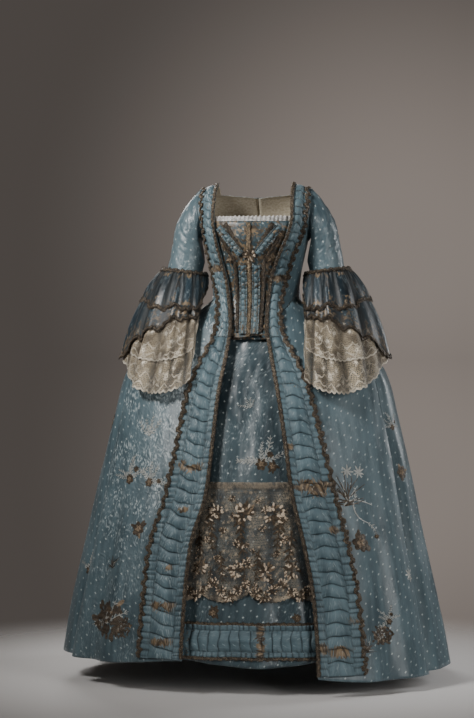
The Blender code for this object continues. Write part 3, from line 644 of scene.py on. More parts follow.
def lace(name, thread, shadow, flower, mesh, thickness, flowers, fill, solid, metallic=0.0, bordered=False):
    """Net with flowers worked in it.

    The piece's edge mark gives a denser border. A bordered lace has swags of thicker thread
    above its hem, and its hem mark is the height over the hem.
    """
    material, tree, shader = finish(name, Roughness=0.62, Metallic=metallic, Sheen_Weight=0.25)
    flat = flat_cloth(tree)
    made = apply_effect(tree, net, Cloth=flat, Mesh=mesh, Thread=thickness, Flowers=flowers, Fill=fill)
    edge = mark(tree, "edge")
    work = sums(tree, "MAXIMUM", made["Flower"], edge)
    if bordered:
        hem = mark(tree, "hem")
        wander = mottle(tree, flat, 38.0, 2.0)
        curled = sums(tree, "MULTIPLY_ADD", wander, VINE_WANDER,
                      sums(tree, "SUBTRACT", hem, VINE_WANDER / 2.0))
        shift = mottle(tree, flat, 30.0, 2.0, output=1)
        shifted = vectors(tree, "MULTIPLY_ADD", shift, (2.0 * VINE_WANDER, 0.0, 0.0), flat)
        swags = sums(tree, "SINE", sums(tree, "MULTIPLY", split(tree, shifted)[0], math.pi / SWAG_WIDE))
        swags = sums(tree, "ABSOLUTE", swags)
        for vine in BORDER_VINES:
            away = sums(tree, "SUBTRACT", curled, sums(tree, "MULTIPLY_ADD", swags, vine.dip, vine.above_hem))
            away = sums(tree, "ABSOLUTE", away)
            work = sums(tree, "MAXIMUM", work,
                        ramp(tree, away, vine.thin, vine.thin * 2.2, VINE_STRENGTH, 0.0))
        work = sums(tree, "MAXIMUM", work, ramp(tree, hem, 0.002, 0.005, 1.0, 0.0))
    clouds = mottle(tree, flat, 34.0, 3.0)
    ground = tint(tree, ramp(tree, clouds, 0.36, 0.62), shadow, thread)
    # Painted shade: the gather mark darkens the lace towards a deep brown in its folds.
    creases = sums(tree, "MULTIPLY", mark(tree, "gather"), 0.92)
    painted_crease_colour = tuple(0.35 * part for part in shadow)
    tree.links.new(tint(tree, creases, tint(tree, work, ground, flower), painted_crease_colour),
                   shader["Base Color"])
    cover = sums(tree, "MAXIMUM", sums(tree, "MULTIPLY_ADD", made["Net"], 0.72, solid), work, clamp=True)
    tree.links.new(cover, shader["Alpha"])
    relief = wire(tree, "Bump", 0.7, LACE_RELIEF, None, sums(tree, "ADD", work, made["Net"]))
    tree.links.new(relief, shader["Normal"])
    return material


LACE_TOP, LACE_FOOT, LACE_LIFT, LACE_RIGHT, LACE_LEFT = 0.546, 0.238, 0.0030, -28.0, 32.0
SCALLOP_DEPTH, SCALLOP_WAVES, NICK_DEPTH, NICK_WAVES = 0.026, 12.0, 0.003, 120.0
angle, down = crossings(evenly(LACE_RIGHT, LACE_LEFT, 170), evenly(0.0, 1.0, 64))
turn = np.radians(angle)
lobes = np.abs(np.sin((turn - math.radians(LACE_RIGHT)) * SCALLOP_WAVES))
foot = LACE_FOOT + SCALLOP_DEPTH * (1.0 - lobes ** 0.6) + NICK_DEPTH * np.abs(np.sin(turn * NICK_WAVES))
height = mix(LACE_TOP, foot, down)
lace_points = petticoat_surface(angle, height)
lace_normals = facing(lace_points)
fullness = np.sin(turn * 15.0 + 1.1 * np.sin(turn * 6.0)) ** 2
gathers = 0.0055 * fullness * ease(down / 0.25)
gathers += 0.0024 * ease((0.05 - down) / 0.05) * np.abs(np.sin(turn * 70.0))
lace_points = laid_on(lace_points, lace_normals, outer_face(petticoat["petticoat_front"]),
                      LACE_LIFT + gathers)
heading = np.maximum(ease((0.060 - down) / 0.02), ease((down - 0.940) / 0.03))
heading = heading * (0.62 + 0.7 * ripple(lace_points, 0.008, 31.0))
metal_lace = lace("gold lace net", (0.50, 0.44, 0.34), (0.158, 0.146, 0.128), (0.56, 0.46, 0.33), 240.0,
                  0.085, 75.0, 0.20, 0.03, metallic=0.12)
# Painted shade: the gather mark darkens the lace in the troughs of its gathers and along its top.
piece = cloth("petticoat_gold_lace", lace_points, [metal_lace], wall=0.0006, on_top=True,
              marks={"edge": np.clip(heading, 0.0, 1.0),
                     "gather": (1.0 - fullness) ** 3 * ease((down - 0.03) / 0.1)
                     + 0.6 * ease((0.10 - down) / 0.06)})
sewn(piece, "petticoat_lace")
gold_lace_face = outer_face(piece)


# ---------------------------------------------------------------- gown skirts
# On each side a front breadth and a side breadth of the same silk, pleated into the waist
# over the hips. The front breadth's back edge rolls in over the side one in a deep fold,
# and the silk on the right side is the more crumpled of the two.
Edge = namedtuple("Edge", "height right left")
FRONT_EDGE = table(
    Edge, (0.000, 0.154, 0.200), (0.070, 0.152, 0.198), (0.240, 0.146, 0.184), (0.380, 0.134, 0.158),
    (0.520, 0.097, 0.123), (0.640, 0.086, 0.104), (0.775, 0.076, 0.080), (0.900, 0.058, 0.052),
    (0.950, 0.054, 0.042), (1.005, 0.057, 0.041), (1.080, 0.066, 0.048), (1.126, 0.077, 0.061),
    (1.160, 0.086, 0.074), (1.208, 0.096, 0.094), (1.260, 0.103, 0.104), (1.352, 0.103, 0.103),
)
Hem = namedtuple("Hem", "angle height")
GOWN_HEM = table(
    Hem, (-180.0, 0.060), (-110.0, 0.068), (-64.0, 0.072), (-40.0, 0.076), (-15.0, 0.092), (15.0, 0.056),
    (40.0, 0.037), (64.0, 0.039), (110.0, 0.060), (180.0, 0.060),
)
GOWN_FOLDS = table(
    Fold, (-61.0, 5.0, 0.010, 0.84), (-52.0, 4.5, -0.010, 0.74), (-44.0, 5.0, 0.007, 0.66),
    (47.0, 4.5, -0.007, 0.80), (55.0, 4.5, 0.007, 0.86), (61.0, 3.5, 0.006, 0.84), (-84.0, 6.0, 0.014, 0.80),
    (-100.0, 6.0, -0.016, 0.78), (-114.0, 6.5, 0.014, 0.74), (84.0, 6.0, 0.012, 0.82),
    (99.0, 6.0, -0.017, 0.80), (113.0, 6.5, 0.014, 0.74),
)
Sack = namedtuple("Sack", "height half_width lift tuck tuck_rise")
SACK = table(
    Sack, (0.000, 0.388, 0.004, 0.004, -0.013), (0.250, 0.345, 0.004, 0.004, -0.013),
    (0.500, 0.290, 0.005, 0.004, -0.013), (0.750, 0.222, 0.007, 0.004, -0.013),
    (0.880, 0.176, 0.022, 0.004, -0.009), (0.960, 0.142, 0.040, 0.005, 0.004),
    (1.040, 0.112, 0.066, 0.030, 0.006), (1.120, 0.104, 0.046, 0.038, 0.006),
    (1.200, 0.099, 0.030, 0.030, 0.006), (1.270, 0.095, 0.021, 0.020, 0.006),
    (1.352, 0.090, 0.015, 0.012, 0.006),
)
SIDE_FOLD_ANGLE, ROLL, SEAM = 64.0, 0.06, 0.0006
edge_curves = {-1: curve(FRONT_EDGE, "right"), 1: curve(FRONT_EDGE, "left")}
hem_curve = curve(GOWN_HEM, "height")
sack_curves = curves(SACK)
SIDES = ((1, "left"), (-1, "right"))


def front_edge(side, height):
    """X of the gown's front edge; side is 1 on the wearer's left and -1 on the right."""
    return side * edge_curves[side](height)


def waist_height(angle):
    """The waist seam dips from the side towards the middle of the front."""
    return mix(0.985, 1.045, ease(np.abs(angle) / 85.0))


def side_tuck(height):
    """How deep the side breadth starts beneath the front one."""
    return mix(0.005, 0.030, ease((0.98 - height) / 0.80))


def skirt_front(side, share, down):
    """The front breadth; past a share of 1 its edge rolls in."""
    flat, rolled = np.minimum(share, 1.0), np.maximum(share - 1.0, 0.0) / ROLL
    height = np.ones(share.shape)
    for _ in range(3):
        ring = form_at(height)
        angle = mix(np.abs(ring_angle(ring, front_edge(side, height))), SIDE_FOLD_ANGLE, flat)
        height = mix(waist_height(angle) - SEAM, hem_curve(side * angle), down)
    angle = angle + 0.5 * np.sin(np.pi * rolled) - 1.6 * rolled
    ring = form_at(height)
    x, y = ring_xy(ring, side * angle)
    rise = fold_rise(GOWN_FOLDS, side * angle, height) - 0.80 * side_tuck(height) * ease(rolled)
    return place(x, y, height) + outward(ring, x, y) * rise[..., None]


def skirt_side(side, share, down):
    """The side breadth, from beneath the front one round to the sack's edge."""
    height = np.ones(share.shape)
    for _ in range(3):
        ring = form_at(height)
        edge = sack_curves["half_width"](height) - sack_curves["tuck"](height)
        edge = edge + mix(0.003, 0.008, ease((1.0 - height) / 0.12))
        last = 180.0 - np.abs(ring_angle(ring, np.minimum(edge, ring.half_width * 0.995)))
        angle = mix(SIDE_FOLD_ANGLE - 4.0, last, share)
        height = mix(waist_height(angle) - SEAM, hem_curve(side * angle), down)
    ring = form_at(height)
    x, y = ring_xy(ring, side * angle)
    tuck = side_tuck(height) * (1.0 - ease((angle - SIDE_FOLD_ANGLE - 1.5) / 10.0))
    rise = fold_rise(GOWN_FOLDS, side * angle, height) * ease((angle - SIDE_FOLD_ANGLE) / 12.0)
    rise = rise * ease((last - angle) / 10.0)
    return place(x, y, height) + outward(ring, x, y) * (rise - tuck)[..., None]


def creased(points, soft, crumple, seed):
    """Points moved out by long soft folds and by short sharp creases."""
    long_folds = soft * ripple(points * np.array([1.0, 1.0, 0.22]), 0.075, seed)
    sharp = 0.5 - np.abs(ripple(points * np.array([1.0, 1.0, 0.8]), 0.050, seed + 9.0, 4))
    return lifted(points, long_folds + crumple * sharp)


smooth_silk = silk("smooth silk", 0.28, Glint=0.10)
crumpled_silk = silk("crumpled silk", 0.70, ("glint",), bump=0.0026)
gown = {}
for side, name in SIDES:
    shares = np.concatenate((evenly(0.0, 1.0, 100), evenly(1.0, 1.0 + ROLL, 7)[1:]))
    share, down = crossings(shares, evenly(0.0, 1.0, 132))
    points = skirt_front(side, share, down)
    points = creased(points, 0.0026, 0.0016 if side < 0 else 0.0005, 20.0 + side)
    # Painted highlight: the glints grow stronger towards the top of the skirt, where the light falls.
    glint = mix(0.30, 1.0, ease((points[..., 2] + SHOULDERS - 0.20) / 0.35))
    front = cloth("skirt_front_" + name + "_silk", points, [crumpled_silk if side < 0 else smooth_silk],
                  marks={"glint": glint})
    sewn(front, "skirt_front_" + name)
    share, down = crossings(evenly(0.0, 1.0, 60), evenly(0.0, 1.0, 90))
    points = creased(skirt_side(side, share, down), 0.0030, 0.0006, 30.0 + side)
    flank = cloth("skirt_side_" + name + "_silk", points, [smooth_silk])
    sewn(flank, "skirt_side_" + name)
    gown["skirt_front", side], gown["skirt_side", side] = front, flank


# ---------------------------------------------------------------- bodice
# Two fronts and two backs of dotted silk lined with linen, cut close to the body and sewn
# at the side seams and armholes. The fronts stand open over the stomacher.
Armhole = namedtuple("Armhole", "height share")
ARMHOLE = table(
    Armhole, (1.1950, 0.004), (1.2000, 0.120), (1.2150, 0.240), (1.2400, 0.330), (1.2800, 0.410),
    (1.3520, 0.430),
)
UNDERARM, WAIST_SIDE, BACK_NECK = 1.195, 1.045, 1.320
armhole_curve = curve(ARMHOLE, "share")


def armhole_height(turn):
    """Height on the armhole's loop, turn degrees round from its top."""
    return (SHOULDERS + UNDERARM) / 2.0 + (SHOULDERS - UNDERARM) / 2.0 * np.cos(np.radians(turn))


def armhole_angle(ring):
    """The angle at which the armhole, or the side seam below it, ends a bodice piece."""
    return np.minimum(np.degrees(np.arccos(armhole_curve(ring.height) ** (ring.squareness / 2.0))), 89.6)


def bodice_front(side, share, level):
    height = np.where(level < 1.0, 1.0, level)
    for _ in range(3):
        ring = form_at(height)
        angle = mix(np.abs(ring_angle(ring, front_edge(side, height))), armhole_angle(ring), share)
        height = np.where(level < 1.0, mix(waist_height(angle) + SEAM, UNDERARM, level), height)
    x, y = ring_xy(ring, side * angle)
    return place(x, y, height)


def bodice_back(side, share, level):
    height = np.where(level < 1.0, mix(WAIST_SIDE + SEAM, UNDERARM, level), level)
    ring = form_at(height)
    seam = mix(SEAM, NECK_HALF_WIDTH, ease((height - BACK_NECK + 0.002) / 0.008))
    angle = mix(np.abs(ring_angle(ring, seam)), armhole_angle(ring), share)
    x, y = ring_xy(ring, side * (180.0 - angle))
    return place(x, y, height)


linen, tree, shader = finish("linen lining", Roughness=0.85)
weave = mottle(tree, flat_cloth(tree), 160.0, 3.0)
tree.links.new(tint(tree, ramp(tree, weave, 0.3, 0.7), (0.36, 0.31, 0.23), (0.50, 0.45, 0.35)),
               shader["Base Color"])
# The bodice's silk is painted lighter than the gown's, standing in for light on the bodice's sides beside the
# sleeves.
lightened_bodice_silk = silk("bodice silk", 0.24, Silk=(0.130, 0.200, 0.232), Shade=(0.074, 0.116, 0.140))
levels = np.concatenate((evenly(0.0, 0.97, 30), armhole_height(evenly(180.0, 0.0, 34))))
back_levels = np.sort(np.concatenate((levels, [BACK_NECK - 0.003, BACK_NECK + 0.002])))
for side, name in SIDES:
    share, level = crossings(evenly(0.0, 1.0, 46), levels)
    points = bodice_front(side, share, level)
    points = lifted(points, 0.0009 * ripple(points, 0.035, 40.0 + side) * np.sin(np.pi * share))
    front = cloth("bodice_front_" + name + "_silk", points, [lightened_bodice_silk, linen])
    sewn(front, "bodice_front_" + name)
    share, level = crossings(evenly(0.0, 1.0, 40), back_levels)
    back = cloth("bodice_back_" + name + "_silk", bodice_back(side, share, level), [lightened_bodice_silk, linen])
    sewn(back, "bodice_back_" + name)
    gown["bodice_front", side], gown["bodice_back", side] = front, back


# ---------------------------------------------------------------- sack back
# The loose back is turned in and sewn to the neckline. It falls from there in two
# stitched-down box pleats on each side of the middle, opens into the skirt below the waist
# and trails at the hem.
Pleat = namedtuple("Pleat", "across neck_rise hem_rise")
SACK_PLEATS = table(
    Pleat, (0.00, 0.0000, -0.020), (0.05, 0.0060, -0.012), (0.26, 0.0070, 0.018), (0.47, 0.0060, 0.004),
    (0.53, 0.0025, -0.014), (0.74, 0.0035, 0.014), (0.92, 0.0030, 0.006), (1.00, 0.0000, 0.000),
)
SACK_SPAN, SACK_FOOT, SACK_HEAD = 0.30, 0.060, 1.319
HEAD_TURN, HEAD_SEAM = 0.009, 0.0024
neck_rise, hem_rise = curve(SACK_PLEATS, "neck_rise"), curve(SACK_PLEATS, "hem_rise")
head_rows = SACK_HEAD - HEAD_TURN * np.array((0.85, 0.65, 0.45, 0.30, 0.18, 0.09, 0.03, 0.0))
rows = np.concatenate((evenly(SACK_FOOT, SACK_HEAD - HEAD_TURN, 91), head_rows))
across, height = crossings(evenly(-1.2, 1.2, 152), rows)
ring, at = form_at(height), np.minimum(np.abs(across), 1.0)
half_width = sack_curves["half_width"](height)
x, depth = at * half_width, ring.back + sack_curves["lift"](height)
span = np.maximum(ring.half_width, SACK_SPAN)
y = bowed(depth, span, ring.squareness, x) + mix(neck_rise(at), hem_rise(at), ease((1.16 - height) / 0.85))
turned, end = (np.abs(across) - at) / 0.2, half_width - sack_curves["tuck"](height)
end_depth = bowed(ring.back, ring.half_width, ring.squareness, np.minimum(end, ring.half_width))
x = mix(x, end, turned)
y = mix(y, end_depth + sack_curves["tuck_rise"](height), turned)
neck = bowed(ring.back, ring.half_width, ring.squareness, x)
y = mix(y, neck + HEAD_SEAM, np.clip((height - SACK_HEAD + HEAD_TURN) / HEAD_TURN, 0.0, 1.0) ** 3)
points = np.stack([np.copysign(x, across), y, height - SHOULDERS], axis=-1)
soft = 0.0030 * ripple(points * np.array([1.0, 1.0, 0.20]), 0.090, 50.0) * (1.0 - turned)
soft = soft * ease((1.25 - height) / 0.4)
soft += 0.0007 * (0.5 - np.abs(ripple(points, 0.045, 51.0, 4)))
# Painted shade: the gather mark darkens the silk along the pleats' folds, more towards the top.
pleat_edges = sum(np.exp(-((at - edge) / 0.022) ** 2) for edge in (0.0, 0.52, 1.0))
sack = cloth("sack_back_silk", lifted(points, soft), [silk("sack silk", 0.30, ("gather",))],
             marks={"gather": 0.45 * pleat_edges * ease((height - 0.35) / 0.7)})
sewn(sack, "sack_back")


# ---------------------------------------------------------------- sleeves
# Close elbow-length sleeves cut in one and set into the armholes. They are drawn a little
# on the arm, so soft wrinkles run round them at a slant.
Ring = namedtuple("Ring", "along out forward height wide deep tilt")
SLEEVE = table(
    Ring, (0.00, 0.150, 0.000, 1.272, 0.060, 0.056, 78.0), (0.20, 0.161, 0.000, 1.254, 0.054, 0.056, 52.0),
    (0.45, 0.176, -0.002, 1.212, 0.051, 0.054, 26.0), (0.72, 0.187, 0.000, 1.160, 0.049, 0.052, 13.0),
    (1.00, 0.198, 0.004, 1.106, 0.0470, 0.050, 9.0),
)
ARMHOLE_SEAM, ARM_CLEARANCE, ARM_OUT, ARM_GIRTH, ARM_LONG = 0.0012, 0.011, 0.19, 0.00087, 0.17
sleeve_curves = curves(SLEEVE)


def armhole_point(side, angle):
    """The armhole's loop, just outside the bodice's cut edge."""
    height, turn = armhole_height(angle), np.radians(angle)
    ring, share = form_at(height), armhole_curve(height)
    x = bowed(ring.half_width, 1.0, ring.squareness, share)
    reach = share * np.where(np.sin(turn) >= 0.0, ring.front, ring.back)
    toward = np.copysign(np.maximum(reach - ARMHOLE_SEAM, 0.0), -np.sin(turn))
    return place(side * (x + ARMHOLE_SEAM), toward, height - ARMHOLE_SEAM * np.cos(turn))


def sleeve(side, angle, along):
    angle = angle % 360.0
    turn, tilt = np.radians(angle), np.radians(sleeve_curves["tilt"](along))
    wide = sleeve_curves["wide"](along) * np.cos(turn)
    arm = np.stack([side * (sleeve_curves["out"](along) + wide * np.cos(tilt)),
                    -sleeve_curves["forward"](along) - sleeve_curves["deep"](along) * np.sin(turn),
                    sleeve_curves["height"](along) + wide * np.sin(tilt) - SHOULDERS], axis=-1)
    start, settled = armhole_point(side, angle), ease(along / 0.42)[..., None]
    point = arm * settled + start * (1.0 - settled)
    beside = np.minimum(point[..., 2] + SHOULDERS, UNDERARM)
    least = mix(np.abs(start[..., 0]), form_curves["half_width"](beside) + ARM_CLEARANCE, ease(along / 0.30))
    point[..., 0] = side * np.maximum(np.abs(point[..., 0]), least)
    return point


sleeve_silk = silk("sleeve silk", 0.34, bump=0.0020, Glint=0.20)
# The right sleeve's silk is more crumpled, and painted lighter with stronger painted highlights, standing in
# for the light that falls on that side.
crumpled_lit_sleeve_silk = silk("crumpled lit sleeve silk", 0.50, bump=0.0022, Glint=0.50, Silk=(0.130, 0.190, 0.216),
                        Shade=(0.080, 0.122, 0.144))
for side, name in SIDES:
    angle, along = crossings(evenly(0.0, 360.0, 110), evenly(0.0, 1.0, 56))
    points = sleeve(side, angle, along)
    round_arm, down_arm = np.abs((angle + 180.0) % 360.0 - 180.0) * ARM_GIRTH, along * ARM_LONG
    slanted = np.stack([(round_arm + 0.75 * down_arm) * 0.30, 1.30 * (down_arm - 0.55 * round_arm),
                        np.full(angle.shape, 0.3 * side)], axis=-1)
    drawn = 0.0038 * (0.30 - np.abs(ripple(slanted, 0.024, 60.0 + side, 2)))
    drawn = drawn + 0.0008 * ripple(points, 0.012, 62.0)
    drawn = drawn * np.sin(np.pi * along) ** 0.45
    drawn = np.where(np.cos(np.radians(angle)) < -0.3, np.minimum(drawn, 0.0) * 0.6, drawn)
    points = lifted(points, drawn, (side * ARM_OUT, 0.0))
    points[:, -1] = points[:, 0]
    arm = cloth("sleeve_" + name + "_silk", points, [sleeve_silk if side > 0 else crumpled_lit_sleeve_silk, linen],
                closed=True, wraps=(side * ARM_OUT, 0.0), even=True)
    sewn(arm, "sleeve_" + name)


# ---------------------------------------------------------------- sleeve ruffles
# From each elbow hang two deep ruffles of flowered cream lace, and over them two gathered
# flounces of the gown's silk, all longest behind the elbow and shortest inside it.
Ruffle = namedtuple("Ruffle", "angle out forward height lace upper_flounce lower_flounce")
RUFFLES = table(
    Ruffle, (0.0, 0.354, 0.020, 0.872, 0.84, 0.36, 0.93), (45.0, 0.318, 0.160, 0.796, 0.78, 0.33, 0.58),
    (90.0, 0.238, 0.228, 0.776, 0.74, 0.32, 0.42), (135.0, 0.154, 0.222, 0.820, 0.72, 0.34, 0.42),
    (180.0, 0.148, 0.062, 1.008, 0.76, 0.48, 0.62), (225.0, 0.162, 0.000, 1.034, 0.82, 0.56, 0.72),
    (270.0, 0.208, -0.058, 1.000, 0.84, 0.42, 0.82), (315.0, 0.300, -0.066, 0.924, 0.86, 0.38, 0.94),
)
LAYER_STEP, SKIRT_CLEARANCE, FLOUNCE_WAVES = 0.0042, 0.010, 8
FROM_SLEEVE, AWAY_RISE, SLOPE_STEP = 0.0034, 0.25, 0.001
ruffle_curves = curves(RUFFLES, closed=True)


def clear_of_skirt(points, gap):
    """Points moved out along the skirt's normal until they stand gap away from it."""
    def inside(spots):
        ring = form_at(spots[..., 2] + SHOULDERS)
        depth = np.where(spots[..., 1] < 0.0, ring.front, ring.back)
        total = (np.abs(spots[..., 0] / ring.half_width) ** ring.squareness
                 + np.abs(spots[..., 1] / depth) ** ring.squareness)
        return total ** (1.0 / ring.squareness) - 1.0

    for _ in range(6):
        slope = np.stack([(inside(points + SLOPE_STEP * axis) - inside(points - SLOPE_STEP * axis))
                          / (2.0 * SLOPE_STEP) for axis in np.eye(3)], axis=-1)
        steep = np.linalg.norm(slope, axis=-1)
        short = np.maximum(gap - inside(points) / steep, 0.0)
        points = points + slope * (short / steep)[..., None]
    return points


def fine_waves(turn):
    return np.sin(turn * 14.0 + 1.2 * np.sin(turn * 3.0))


def ruffle(side, layer, reach, angle, down):
    """A gathered ruffle hung from the elbow; reach is the share of the way it hangs."""
    share, turn = down * reach, np.radians(angle)
    away = np.stack([side * np.cos(turn), -np.sin(turn), np.full(turn.shape, AWAY_RISE)], axis=-1)
    away = away / math.hypot(1.0, AWAY_RISE)
    end = np.stack([side * ruffle_curves["out"](angle), -ruffle_curves["forward"](angle),
                    ruffle_curves["height"](angle) - SHOULDERS], axis=-1)
    points = mix(sleeve(side, angle, np.ones(angle.shape)) + away * FROM_SLEEVE, end, share[..., None])
    open_side = 0.5 + 0.5 * np.cos(turn)
    wave = 0.75 * np.sin(turn * FLOUNCE_WAVES) + 0.70 * fine_waves(turn)
    wave = mix(0.004, 0.012, open_side) * share ** 0.75 * wave
    swell = 0.016 * open_side * np.sin(np.pi * np.minimum(share, 1.0))
    points = points + away * (swell + wave + layer * LAYER_STEP)[..., None]
    held_off = clear_of_skirt(points, SKIRT_CLEARANCE + layer * LAYER_STEP * open_side)
    return mix(points, held_off, ease(share / 0.35)[..., None])


cream_lace = lace("cream lace", (0.63, 0.53, 0.375), (0.185, 0.147, 0.098), (0.95, 0.87, 0.72), 300.0, 0.17,
                  58.0, 0.23, 0.16, bordered=True)
flounce_silk = silk("flounce silk", 0.30, ("gather", "brocade"), Silk=(0.021, 0.043, 0.060),
                    Shade=(0.004, 0.008, 0.012), Dot=(0.10, 0.14, 0.16), Glint=0.24)
Layer = namedtuple("Layer", "node step reach rows scallops scallop_depth material slot flat area")
ruffle_edges = {}
LAYERS = table(
    Layer,
    ("lace_ruffle_long_", 0, None, 32, 56, 0.022, cream_lace, "cuff_lace", (0.95, 0.36), 0.16),
    ("lace_ruffle_upper_", 1, "lace", 26, 56, 0.020, cream_lace, "cuff_lace", (0.82, 0.28), 0.12),
    ("flounce_lower_", 2, "lower_flounce", 24, 23, 0.050, flounce_silk, "trim_silk", (0.74, 0.22), 0.095),
    ("flounce_upper_", 3, "upper_flounce", 18, 23, 0.070, flounce_silk, "trim_silk", (0.60, 0.14), 0.050),
)
for side, name in SIDES:
    arm_middle = (side * ARM_OUT, 0.0)
    for layer in LAYERS:
        angle, down = crossings(evenly(0.0, 360.0, 228), evenly(0.0, 1.0, layer.rows))
        turn = np.radians(angle)
        lobes = np.abs(np.sin(turn * layer.scallops / 2.0)) ** 0.7
        scallop = 1.0 - layer.scallop_depth * (1.0 - lobes) * down ** 2
        if layer.material is flounce_silk:
            ragged = 0.05 * np.sin(turn * 5.0 + layer.step) + 0.04 * np.sin(turn * 11.0)
            scallop = scallop * (1.0 + ragged * down)
        reach = (ruffle_curves[layer.reach](angle) if layer.reach else 1.0) * scallop
        points = ruffle(side, layer.step, reach, angle, down)
        uneven = np.sin(turn * 3.0 + layer.step) + 0.8 * np.sin(turn * 7.0)
        small = 0.0011 * np.sin(turn * 21.0 + 2.6 * uneven)
        small = small * ease(down / 0.2) * (0.7 + 0.3 * np.sin(turn * 5.0))
        strips = np.zeros(turn.shape)
        if layer.material is flounce_silk:
            small += 0.0012 * np.sin(turn * 38.0) * ease(down / 0.05) * ease((0.45 - down) / 0.25)
            swell = np.cos(turn * 3.0) if layer.reach == "upper_flounce" else np.sin(turn * 3.0)
            small += 0.0055 * np.abs(swell) ** 0.6 * np.sin(np.pi * down)
            strips = np.exp(-(swell / 0.28) ** 2)
        points = lifted(points, small, arm_middle)
        points[:, -1] = points[:, 0]
        # Painted shade: the gather mark darkens the ruffles in the troughs of their waves, along their tops
        # under the sleeve and between the flounces' puffs.
        creases = 0.55 * (0.5 - 0.5 * np.sin(turn * FLOUNCE_WAVES)) ** 2
        creases += 0.55 * (0.5 - 0.5 * fine_waves(turn)) ** 3
        creases += 0.40 * np.abs(np.sin(turn * 10.5 + 1.3 * uneven)) ** 8
        turned_up = np.maximum(ease((down - 0.60) / 0.25), ease((0.30 - down) / 0.20))
        marks = {"gather": creases * (1.15 - 0.4 * down) + 0.6 * ease((0.10 - down) / 0.10) + 0.40 * strips,
                 "hem": (1.0 - down) * run_lengths(points, 0)[-1].mean(),
                 "edge": np.maximum(ease((down - 0.965) / 0.02), ease((0.06 - down) / 0.04)) * 0.60,
                 "brocade": 0.48 * np.maximum(turned_up, strips)}
        frill = cloth(layer.node + name + "_cloth", points, [layer.material], wall=0.0007, closed=True,
                      wraps=arm_middle, marks=marks, even=True)
        sewn(frill, layer.node + name)
        ruffle_edges[layer.node, side] = points, facing(points, arm_middle)


# ---------------------------------------------------------------- robings
# Ruched silk bands run down both front edges from the shoulders to the hem. Each is drawn
# up on two gathering threads into a row of puffs with a frill outside each thread, and its
# edges carry a braid of tarnished gold thread. Parts of it are cut from brocaded flowers.
Band = namedtuple("Band", "height width")
ROBING_WIDTH = table(
    Band, (0.000, 0.116), (0.240, 0.112), (0.520, 0.108), (0.640, 0.096), (0.775, 0.084), (0.850, 0.070),
    (0.930, 0.044), (1.020, 0.033), (1.100, 0.039), (1.160, 0.035), (1.260, 0.034), (1.300, 0.038),
    (1.352, 0.039),
)
TRIM_GAP, WAIST_SEAM_RIDE, WAIST_FRONT = 0.0024, 0.0018, 1.015
SKIRT_PUFFS, BODICE_PUFFS, FRILL = 27, 18, 0.22
ROBING_TOP, ROBING_JOIN, JOIN_GAP = 1.349, 0.9275, 0.001
robing_width = curve(ROBING_WIDTH, "width")


def front_face(x, height):
    """The form's front at x."""
    ring = form_at(height)
    return place(*ring_xy(ring, ring_angle(ring, x)), height)


PUFF_ROWS = np.array((0.0, 0.03, 0.07, 0.14, 0.24, 0.37, 0.50, 0.63, 0.76, 0.86, 0.93, 0.97))
PUFF_COLUMNS = np.array((0.0, 0.05, 0.12, 0.25, 0.40, 0.50, 0.60, 0.75, 0.88, 0.95, 1.0))
FRILL_COLUMNS = np.array((0.0, 0.35, 0.70, 0.88))


def between_threads(share, frill):
    """The share of the way across the puffs, from one gathering thread to the other."""
    return np.clip((share - frill) / (1.0 - 2.0 * frill), 0.0, 1.0)


def drawn_up(puffs, seed, frill=FRILL, arch=0.0, lean=0.0):
    """A ruched band's grid: shares across and along it, and each point's place in the row of puffs.

    Its rows follow the creases between the puffs and lie closest together beside them.
    """
    dice = np.random.default_rng(seed)
    tilts = 0.22 * (dice.random(puffs + 1) - 0.5)
    across = np.concatenate((FRILL_COLUMNS * frill, frill + (1.0 - 2.0 * frill) * PUFF_COLUMNS,
                             1.0 - FRILL_COLUMNS[::-1] * frill))
    share, turn = crossings(across, np.append((np.arange(puffs)[:, None] + PUFF_ROWS).ravel(), puffs))
    middle = between_threads(share, frill)
    slant = lean + 2.0 * np.interp(turn, np.arange(puffs + 1), tilts)
    bow = arch * 4.0 * middle * (1.0 - middle) + slant * (middle - 0.5)
    bow = bow + 0.05 * np.sin(middle * 9.0 + turn * 2.1)
    return share, (turn - bow * ease(np.minimum(turn, puffs - turn) / 0.9)) / puffs, turn


